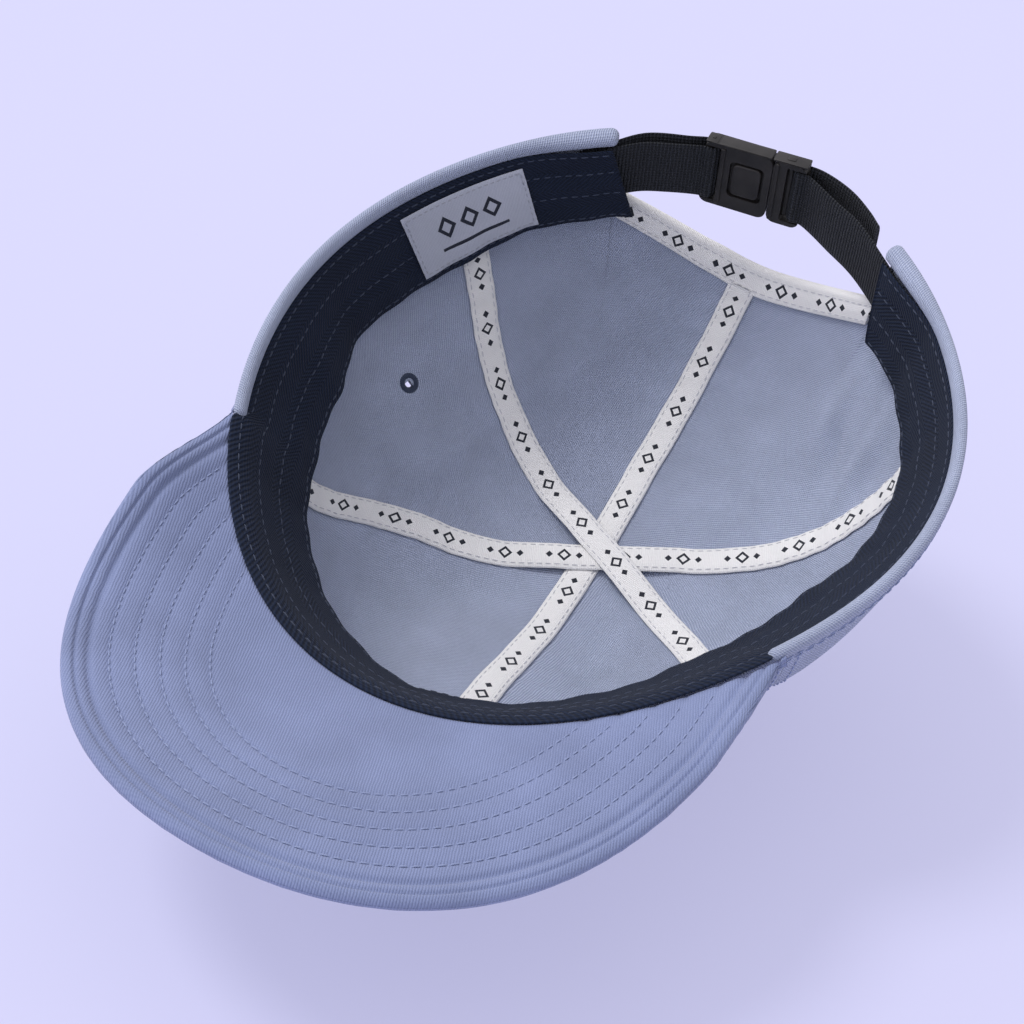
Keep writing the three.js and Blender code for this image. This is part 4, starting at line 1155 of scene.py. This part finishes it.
@dataclass
class Sweatband:
    """The navy band inside the rim, with the label sewn on it."""

    width: float = 28
    cloth: float = 1.2
    below_rim: float = 3.5
    belly: float = 1.2
    curl: float = 1.2
    clearance: float = 0.6
    strap_room: float = 3.0
    tuck_angle: float = 6
    slant_left: float = 4.2
    slant_right: float = -4.2
    rear_drawn_up: tuple[float, float] = (0.25, 0.2)
    rear_reach: tuple[tuple[float, float], tuple[float, float]] = ((105, 152), (115, 152))
    waves: tuple[tuple[float, float, float], ...] = ((0.25, 17, 0), (0.2, 41, 1))
    label_length: float = 44
    label_shear: float = 1.2
    label_height: float = 20
    label_angle: float = -124
    label_cloth: float = 0.6
    label_share: float = 0.52
    label_off: float = 0.15
    label_bulge: float = 0.25
    label_seam_in: float = 1.2
    rows: tuple[float, ...] = (0.06, 0.3, 0.6, 0.94)
    roll_share: float = 0.13
    roll_out: float = 0.7
    thread: Thread = Thread(radius=0.17, stitch=2.2, pitch=3.0)
    label_thread: Thread = Thread(radius=0.14, stitch=1.3, pitch=1.9)
    stands_off: tuple[tuple[float, float], ...] = (
        (-153, 0.1), (-134, 0.12), (-97, 0.06), (-75, 0.33), (-46, 0.32), (-18, 0.4),
        (20, 0.5), (59, 0.45), (76, 0.42), (94, 0.2), (119, 0.1), (153, 0.08),
    )

    def point(self, angle: Array, share: Array, distance: Array | float) -> Array:
        """Returns points on the band.

        Args:
            angle: round the mouth, within the band's ends.
            share: down the band from its upper edge, as a share of its width.
            distance: inwards from its outer face.
        """
        angle, share, distance = spread(angle, share, distance)
        off = between(self.stands_off, angle)
        cover = FORM.peak_cover(angle)
        top = self.below_rim * (1 - cover) - 0.15 * cover
        left, right = (ease(angle * sign, *reach) for sign, reach in zip((-1, 1), self.rear_reach))
        drawn_up = 1 - self.rear_drawn_up[0] * left - self.rear_drawn_up[1] * right
        hang = self.width * drawn_up * np.sqrt(1 - off**2)
        depth = top + (hang + self.below_rim - top) * share
        level = FORM.level_at_depth(angle, np.maximum(depth, 0))
        from_end = 180 - FORM.opening_half_angle - np.abs(angle)
        over_strap = 1 - ease(from_end, self.tuck_angle / 2, self.tuck_angle * 3)
        standing = self.clearance + self.strap_room * over_strap
        rolled = cover * np.clip(1 - share / self.roll_share, 0, 1) ** 1.5
        standing = standing * (1 - rolled) - (CLOTH + self.roll_out) * rolled
        standing = standing + self.width * off * share**self.curl + self.belly * np.sin(np.pi * share)
        wave = sum(high * np.sin(np.radians(angle) * many + shift) * share for high, many, shift in self.waves)
        place = FORM.crown(angle, level) - outward(angle) * (standing + distance + wave)[..., None]
        place[..., 2] += np.maximum(-depth, 0)
        return place

    def normal(self, angle: Array, share: Array) -> Array:
        """Returns the band's inward normal."""
        high = np.minimum(share, 0.98)
        around = self.point(angle + 0.3, share, 0) - self.point(angle - 0.3, share, 0)
        down = self.point(angle, high + 0.02, 0) - self.point(angle, np.maximum(high - 0.02, 0), 0)
        return unit(np.cross(around, down))

    def cut(self, angle: Array, share: Array) -> Array:
        """Returns an angle moved as the slanted rear ends ask, more so down the band."""
        slant = np.where(angle < 0, -self.slant_left, self.slant_right)
        return angle + slant * ease(np.abs(angle), 130, 180 - FORM.opening_half_angle) * share

    def band(self) -> None:
        """Builds the band, cut on a slant at its rear ends."""
        end = 180 - FORM.opening_half_angle - 0.3
        share = 0.5 - 0.4998 * np.cos(np.linspace(0, np.pi, 22))[None, :]
        across = np.linspace(-1, 1, 300)[:, None]
        angle = self.cut(across * end, share)
        face = self.point(angle, share, 0)
        normal = self.normal(angle, share)
        half = self.cloth / 2 * np.sqrt(1 - np.abs(2 * share - 1) ** 26)
        valley = sum(0.14 * bell(share, row, 0.012) for row in self.rows)
        outer = face + normal * (self.cloth / 2 - half)[..., None]
        inner = face + normal * (self.cloth / 2 + half - valley)[..., None]
        mesh = Mesh()
        mesh.wrap(inner, outer, pair(run_along(face[:, 10:11]), share * self.width))
        mesh.piece("sweatband_cloth", BAND_HERRINGBONE, "band_cloth", "sweatband")
        sewn = Mesh()
        for row in self.rows:
            shares = np.full(700, row)
            at = self.cut(np.linspace(-end + 0.6, end - 0.6, 700), shares)
            normals = self.normal(at, shares)
            sewn.stitches(self.point(at, shares, 0) + normals * (self.cloth - 0.1), normals, self.thread)
        sewn.piece("sweatband_stitches", NAVY_THREAD, "band_cloth")

    def label(self) -> None:
        """Builds the label with its edges turned under and sewn down."""
        half_angle = math.degrees(self.label_length / 2 / FORM.half_length)
        half_share = self.label_height / 2 / (self.width * 0.9)

        def place(a: Array, b: Array) -> tuple[Array, Array]:
            """Returns angles and shares of the band from -1 to 1 along and down the label."""
            return self.label_angle + a * half_angle - b * self.label_shear, self.label_share + b * half_share

        a, b = edge_to_edge(25)[:, None], edge_to_edge(17)[None, :]
        angle, share = place(a, b)
        thick = self.label_cloth / 2 * np.sqrt((1 - a**20) * (1 - b**16))
        bulge = self.label_bulge * (1 - a**2) * (1 - b**2) + 0.15 * np.abs(a) ** 6 * np.sin(b * 2.2 + 1)
        normal = self.normal(angle, share)
        lift = self.cloth + self.label_off + self.label_cloth / 2 + bulge
        face = self.point(angle, share, 0) + normal * lift[..., None]
        mesh = Mesh()
        mesh.wrap(
            face + normal * thick[..., None], face - normal * thick[..., None],
            pair(a * self.label_length / 2, -b * self.label_height / 2),
        )
        mesh.piece("label_weave", LABEL_DAMASK, "label_cloth", "label")
        sewn = Mesh()
        inset_a, inset_b = (1 - 2 * self.label_seam_in / size for size in (self.label_length, self.label_height))
        even, same = np.linspace(-1, 1, 60), np.ones(60)
        for a, b in (
            (even * inset_a, same * inset_b), (even * inset_a, same * -inset_b),
            (same * inset_a, even * inset_b), (same * -inset_a, even * inset_b),
        ):
            at, down = place(a, b)
            normals = self.normal(at, down)
            lift = self.cloth + self.label_off + self.label_cloth + self.label_bulge * (1 - a**2) * (1 - b**2)
            sewn.stitches(self.point(at, down, 0) + normals * lift[:, None], normals, self.label_thread)
        sewn.piece("label_stitches", GREY_THREAD, "label_cloth")

    def build(self) -> None:
        """Builds the band and its label."""
        self.band()
        self.label()


@dataclass
class Peak:
    """The stiffened peak: two cloths over a board, sewn through in rows that follow its edge."""

    half_angle: float = 58
    length: float = 60
    side_run: float = 66.5
    side_flare: float = 6
    tip_run: float = 52.9
    tip_rise: float = 36
    side_rise: float = 12
    corner_share: float = 0.2
    thick: float = 3.3
    columns: int = 150
    rows: int = 150
    edge_reach: float = 2.0
    seam_in: float = 2.6
    groove_in: float = 5.6
    stitch_rows: tuple[float, ...] = (10, 15.5, 21, 26.5, 32)
    layers_apart: float = 0.03
    stitch_sunk: tuple[float, float] = (0.26, 0.22)
    thread: Thread = Thread(radius=0.2, stitch=2.0, pitch=2.6)

    def edge(self, share: Array) -> Array:
        """Returns the outer edge at shares from left to right."""
        along = (1 - np.abs(share * 2 - 1))[..., None]
        sign = np.where(share < 0.5, -1.0, 1.0)
        corner = FORM.rim(sign * self.half_angle)
        start = corner[..., :2]
        tip = np.array([0, FORM.rim(0.0)[1] - self.length])
        flare = math.radians(self.side_flare)
        side = start + pair(sign * math.sin(flare), -math.cos(flare)) * self.side_run
        near_tip = pair(sign * self.tip_run, tip[1])
        plan = (1 - along) ** 3 * start + 3 * (1 - along) ** 2 * along * side
        plan = plan + 3 * (1 - along) * along**2 * near_tip + along**3 * tip
        rise = self.tip_rise + (self.side_rise - self.tip_rise) * (plan[..., 0] / corner[..., 0]) ** 2
        eased = ease(along[..., 0], 0, self.corner_share)
        return np.concatenate([plan, (corner[..., 2] + (rise - corner[..., 2]) * eased)[..., None]], -1)

    def point(self, share: Array, out: Array) -> Array:
        """Returns the shown face at a share round the edge and a share out from the crown."""
        share, out = spread(share, out)
        angle = -self.half_angle + 2 * self.half_angle * share
        seam = FORM.rim(angle) + outward(angle) * (CLOTH + 0.1)
        return seam + (self.edge(share) - seam) * out[..., None]

    def normal(self, share: Array, out: Array) -> Array:
        """Returns the shown face's normal."""
        s, o = np.clip(share, 0.02, 0.98), np.clip(out, 0.05, 0.95)
        around = self.point(s + 0.01, o) - self.point(s - 0.01, o)
        ahead = self.point(s, o + 0.02) - self.point(s, o - 0.02)
        return unit(np.cross(ahead, around))

    def build(self) -> None:
        """Builds both cloths and the stitch rows."""
        share = (closer_ends(self.columns) * 0.55 + 0.45 * np.linspace(0, 1, self.columns))[:, None]
        out = np.linspace(0, 1, self.rows)[None, :]
        out = out * 0.9 + 0.1 * (1 - (1 - out) ** 3)
        face, normal = self.point(share, out), self.normal(share, out)
        rim = self.edge(np.linspace(0, 1, 500))
        from_edge = np.min(np.linalg.norm(face[:, :, None] - rim[None, None], axis=-1), axis=-1)
        from_edge = np.where(out >= 1, 0, from_edge)
        # valleys along the edge seam, the piping groove and the stitch rows
        relief = 0.6 * bell(from_edge, self.seam_in, 0.38) + 0.85 * bell(from_edge, self.groove_in, 0.8)
        relief = relief + sum(0.32 * bell(from_edge, row, 0.75) for row in self.stitch_rows)
        relief = relief * ease(from_edge, 0.6, 2.0)
        half = self.thick / 2
        plump = half * edge_round(from_edge, self.edge_reach)
        between_layers = self.layers_apart * np.array([-1, 1])
        meeting = half + between_layers[:, None, None] * np.ones_like(plump)
        downs = (half - plump + relief, *meeting, half + plump - relief * 0.8)
        shown, above, beneath, hidden = (face - normal * down[..., None] for down in downs)
        for name, upper, lower in (("peak_under", shown, above), ("peak_top", beneath, hidden)):
            mesh = Mesh()
            mesh.wrap(upper, lower, face[..., :2])
            mesh.piece(f"{name}_cloth", PEAK_TWILL, "cap_cloth", name)
        sewn = Mesh()
        depths = [np.maximum.accumulate(column[::-1]) for column in from_edge]
        for row in self.stitch_rows:
            cross = [
                (share[i, 0], float(np.interp(row, depth, out[0][::-1])))
                for i, depth in enumerate(depths) if depth[-1] >= row + 0.5
            ]
            s, o = np.array(cross).T
            normals = self.normal(s, o)
            base = self.point(s, o)
            sewn.stitches(base - normals * self.stitch_sunk[0], normals, self.thread)
            sewn.stitches(base - normals * (self.thick - self.stitch_sunk[1]), -normals, self.thread)
        sewn.piece("peak_stitches", BLUE_THREAD, "cap_cloth")


@dataclass
class Strap:
    """The webbing strap behind, folded round the buckle's bars, with the buckle fastened."""

    width: float = 17
    thick: float = 1.2
    below_rim: float = 2
    bow: float = 3
    lean: float = 0.13
    tuck_angle: float = 6
    tail_end_angle: float = 21
    parts_share: float = 0.72
    parts_by: float = 0.3
    buckle_length: float = 30
    buckle_aside: float = -5
    buckle_set_in: float = 1
    buckle_turn: float = 7
    end_bar: float = 2.4
    bar_thick: float = 2
    tail_stands: tuple[float, ...] = (3.9, 4.3, 3.6, 2.6, 0)
    left_parts: tuple[float, ...] = (1.5, 2.4, 0.3, 0, 1.7)
    tucked_lower: float = 3.4
    bevel: float = 0.45
    corner_squareness: float = 9
    plate_section: tuple[tuple[float, float], ...] = ((2.4, 1), (1, 1), (0.3, 0.86), (0, 0.55))
    solid_bevel: float = 0.35
    thread: Thread = Thread(radius=0.2, stitch=2.0, pitch=2.8)

    def line_point(self, angle: float, distance: float) -> Array:
        """Returns the strap's upper edge at an angle, out from the middle of its layers."""
        inset = 2 * GAP + self.thick + GAP / 2
        bow = self.bow * (1 - float(ease(abs(angle - 180) / FORM.opening_half_angle, 0, 1)))
        return FORM.rim(angle) + outward(np.array(angle)) * (distance + bow - inset)

    @property
    def buckle_top(self) -> Array:
        """The buckle's middle, level with the strap's upper edge."""
        top = self.line_point(180, -self.buckle_set_in)
        return np.array([self.buckle_aside, top[1], top[2]])

    @property
    def axes(self) -> tuple[Array, Array]:
        """The buckle's directions along the strap and out."""
        t = math.radians(self.buckle_turn)
        return np.array([math.cos(t), math.sin(t), 0]), np.array([-math.sin(t), math.cos(t), 0])

    def route(self, sign: int, outer_end: float, loose: tuple[float, ...]) -> Array:
        """Returns a strap's route in plan: in along the inside, round its bar and back outside.

        Args:
            sign: the side along X.
            outer_end: the angle at which the outer layer ends.
            loose: how far the outer layer stands off at four places from its bar to its end, and how far the
                last two of them lie lower.

        Returns:
            The route's points.
        """
        along, out = self.axes
        bar = self.buckle_top + along * sign * (self.buckle_length / 2 - self.end_bar / 2)
        beyond = self.bar_thick / 2 + GAP + self.thick / 2
        halfway = (self.thick + GAP) / 2
        tuck = 180 - sign * (FORM.opening_half_angle + self.tuck_angle)
        bar_angle = 180 - sign * math.degrees(math.asin(sign * bar[0] / FORM.half_length))
        near, far = self.end_bar / 2 + GAP, self.end_bar / 2 + GAP * 3 + self.thick / 2

        def at(share: float, end: float, distance: float, lower: float = 0) -> Array:
            """Returns a point between a layer's end and its bar, so much lower."""
            return self.line_point(end + (bar_angle - end) * share, distance) - (0, 0, lower)

        def beside(x: float, y: float) -> Array:
            """Returns a point beside the bar."""
            return bar + along * sign * x + out * y

        return np.array([
            at(0, tuck, -halfway, self.tucked_lower), at(0.25, tuck, -halfway, self.tucked_lower / 2),
            at(0.5, tuck, -halfway), at(self.parts_share, tuck, -halfway - self.parts_by),
            beside(self.end_bar * 0.6, -beyond), beside(0, -beyond), beside(-near, -beyond * 0.95),
            beside(-far, 0), beside(-near, beyond * 0.95), beside(0, beyond), beside(self.end_bar * 0.6, beyond),
            at(0.85, outer_end, halfway + loose[0]), at(0.5, outer_end, halfway + loose[1]),
            at(0.2, outer_end, halfway + loose[2], loose[4]), at(0, outer_end, halfway + loose[3], loose[4] * 2),
        ])

    def webbing(self, name: str, line: Array) -> None:
        """Builds one strap of webbing on edge along a line.

        Args:
            name: the solid's name.
            line: its upper edge's route.
        """
        curve = centripetal(line, 260)
        ahead = unit(np.gradient(curve, axis=0) * (1, 1, 0))
        side = np.column_stack([-ahead[:, 1], ahead[:, 0], np.zeros(len(ahead))])
        run = run_along(curve)[:, None]
        b = edge_to_edge(15)[None, :]
        down = self.below_rim + (b + 1) / 2 * self.width
        middle = curve[:, None] + np.stack([np.zeros_like(down), -down * self.lean, -down], -1)
        wave = 0.1 * np.sin(run / 4.1 + b * 2)
        # thick to its woven edges, with a thinner line just inside each
        half = self.thick / 2 * np.sqrt(1 - b**10) * (1 - 0.1 * bell(np.abs(b), 0.88, 0.05))
        inner = middle - side[:, None] * (half - wave)[..., None]
        outer = middle + side[:, None] * (half + wave)[..., None]
        mesh = Mesh()
        mesh.wrap(inner, outer, pair(run, b * self.width / 2))
        mesh.piece(f"{name}_webbing", WEBBING_RIB, "webbing", name)

    def plate(self, x: float, y: float, out: float, half: tuple[float, float, float], corner: float) -> Mesh:
        """Builds a softly rounded plate in the buckle's own frame.

        Args:
            x: its middle along the buckle.
            y: its middle up the buckle.
            out: its middle out from the buckle's middle plane.
            half: its half length, height and thickness.
            corner: its corners' radius in face view.

        Returns:
            The plate, not yet a piece.
        """
        turn = np.linspace(0, 2 * np.pi, 48, endpoint=False)
        round_ = np.column_stack([np.cos(turn), np.sin(turn)])
        flat = np.array([half[0] - corner, half[1] - corner])
        edge = np.clip(round_ * self.corner_squareness, -1, 1) * flat + round_ * corner
        bevel = min(half[2], self.bevel, min(half[0], half[1]) / 3)
        section = np.array(self.plate_section)
        rings = [
            np.column_stack([edge * (1 - inset * bevel / np.array(half[:2])), np.full(len(edge), level * half[2])])
            for inset, level in np.vstack([section, section[::-1] * (1, -1)])
        ]
        local = np.stack(rings)
        along, _ = self.axes
        lean = math.atan(self.lean)
        up = np.array([0, math.sin(lean), math.cos(lean)])
        down = self.below_rim + self.width / 2
        middle = self.buckle_top + (0, -down * self.lean, -down)
        mesh = Mesh()
        mesh.tube(middle + (local + (x, y, out)) @ np.array([along, up, np.cross(up, along)]), local[..., :2])
        return mesh

    def buckle(self) -> None:
        """Dresses the buckle's solids and adds its press panel, rims, plates and dots."""
        for name in ("buckle_socket", "buckle_plug"):
            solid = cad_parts[name]
            solid.data.materials.clear()
            solid.data.materials.append(BUCKLE_ACETAL.material())
            solid.data.polygons.foreach_set("use_smooth", np.ones(len(solid.data.polygons), bool))
            solid.data.set_sharp_from_angle(angle=math.radians(35))
            bevel = solid.modifiers.new("softened_edges", "BEVEL")
            bevel.width, bevel.segments, bevel.limit_method = self.solid_bevel / 1000, 3, "ANGLE"
            bevel.harden_normals = True
        parts = (
            # middle along, up and out, half sizes, corner
            ("buckle_press_panel", -2, 0, -1.55, (4.2, 5.2, 0.75), 1.7),
            ("buckle_socket_rim", -9.4, 0, -2.35, (0.7, 9.4, 0.35), 0.5),
            ("buckle_plug_rim", 6.4, 0, -2.35, (0.6, 9.6, 0.35), 0.5),
            ("buckle_back_panel", -2, 0, 2.35, (5.0, 6.0, 0.3), 1.8),
            ("buckle_plug_tongue", 9.9, 0, 0.2, (0.85, 8.6, 0.9), 0.5),
            ("buckle_cap_upper", -13.1, 10.4, 0, (1.8, 0.4, 2.15), 0.35),
            ("buckle_body_upper", -3.25, 10.4, 0, (7.75, 0.4, 2.15), 0.35),
            ("buckle_plug_upper", 9.85, 10.4, 0, (5.05, 0.4, 2.15), 0.35),
            ("buckle_plug_dot", 9.6, 10.8, 0, (1.2, 0.2, 0.8), 0.15),
            ("buckle_cap_dot", -13.1, 10.8, 0, (0.5, 0.2, 0.5), 0.15),
        )
        for name, x, y, out, half, corner in parts:
            made = self.plate(x, y, out, half, corner).piece(name, BUCKLE_ACETAL, "buckle_plastic")
            made.data.set_sharp_from_angle(angle=math.radians(50))

    def build(self) -> None:
        """Builds the strap's two halves and the buckle."""
        tuck = FORM.opening_half_angle + self.tuck_angle
        self.webbing("strap_left", self.route(-1, 180 + tuck, self.left_parts))
        self.webbing("strap_right", self.route(1, 180 - self.tail_end_angle, self.tail_stands))
        self.buckle()


@dataclass
class Studio:
    """The floor, the soft lights and the camera at the photograph's angle."""

    azimuth: float = 22.508
    elevation: float = 33.705
    roll: float = 12.70
    stands_at: tuple[float, float, float] = (137.328, -341.427, 304.259)
    lens: float = 64.007
    sensor: float = 36
    floor_half: float = 4
    key_from: tuple[float, float, float] = (-0.55, -0.16, 0.83)
    key_strength: float = 1.25
    key_spread: float = 19
    sky_strength: float = 0.9
    sky_bright: tuple[float, float, float] = (-0.42, -0.14, 0)
    clip: tuple[float, float] = (0.01, 50)

    def axes(self) -> tuple[Array, Array, Array]:
        """Returns the camera's right, up and back in the shared frame."""
        az, el, roll = (math.radians(a) for a in (self.azimuth, self.elevation, self.roll))
        back = np.array([math.sin(az) * math.cos(el), -math.cos(az) * math.cos(el), math.sin(el)])
        right = np.array([math.cos(az), math.sin(az), 0])
        up = np.cross(back, right)
        turned = right * math.cos(roll) + up * math.sin(roll)
        return turned, np.cross(back, turned), back

    def stand(self, columns: Array) -> Matrix:
        """Returns the matrix whose columns are right, up, back and the place."""
        return Matrix([*columns.tolist(), [0, 0, 0, 1]])

    def camera(self) -> None:
        """Stands the camera where the photograph was taken from."""
        right, up, back = self.axes()
        data = bpy.data.cameras.new("photograph_camera")
        data.lens, data.sensor_width = self.lens, self.sensor
        data.clip_start, data.clip_end = self.clip
        made = bpy.data.objects.new("photograph_camera", data)
        at = np.array(self.stands_at) / 1000
        made.matrix_world = self.stand(np.column_stack([right, up, back, at]))
        bpy.context.scene.collection.objects.link(made)
        bpy.context.scene.camera = made

    def lights(self) -> None:
        """Hangs the key light and fills the room with soft light."""
        towards = unit(np.array(self.key_from))
        data = bpy.data.lights.new("key_light", "SUN")
        data.energy, data.angle = self.key_strength, math.radians(self.key_spread)
        data.color = (1.0, 0.985, 0.97)
        made = bpy.data.objects.new("key_light", data)
        side = unit(np.cross([0, 0, 1.0], towards))
        made.matrix_world = self.stand(np.column_stack([side, np.cross(towards, side), towards, np.zeros(3)]))
        bpy.context.scene.collection.objects.link(made)
        world = bpy.data.worlds.new("soft_room")
        world.use_nodes = True
        tree = world.node_tree
        tree.nodes.clear()
        # brighter towards the front left, so that the wall beside the peak on the right falls into shade
        towards_sky = node(tree, "TexCoord").outputs["Generated"]
        side = node(tree, "VectorMath", {0: towards_sky, 1: self.sky_bright}, operation="DOT_PRODUCT")
        level = node(tree, "Math", {0: side.outputs["Value"], 1: 1.0}, operation="ADD")
        strength = node(tree, "Math", {0: level, 1: self.sky_strength}, operation="MULTIPLY")
        sky = node(tree, "Background", {"Color": linear("F6F5FF"), "Strength": strength})
        node(tree, "OutputWorld", {"Surface": sky})
        bpy.context.scene.world = world

    def floor(self) -> None:
        """Lays the pale floor."""
        half = self.floor_half
        mesh = bpy.data.meshes.new("floor")
        corners = [(x * half, y * half, 0) for x, y in ((-1, -1), (1, -1), (1, 1), (-1, 1))]
        mesh.from_pydata(corners, [], [(0, 1, 2, 3)])
        made = bpy.data.objects.new("floor", mesh)
        made.data.materials.append(Painted("painted_board_lilac").material())
        bpy.context.scene.collection.objects.link(made)

    def build(self) -> None:
        """Sets up the studio."""
        self.camera()
        self.lights()
        self.floor()
        view = bpy.context.scene.view_settings
        view.view_transform, view.look, view.exposure = "Standard", "None", 0.0


def main() -> None:
    """Builds every piece in order."""
    logging.basicConfig(level=logging.INFO, format="%(name)s: %(message)s")
    for part in (Studio(), Crown(), Eyelets(), Button(), Tapes(), Sweatband(), Peak(), Strap()):
        part.build()
        log.info("%s built", type(part).__name__)


if __name__ == "__main__":
    main()
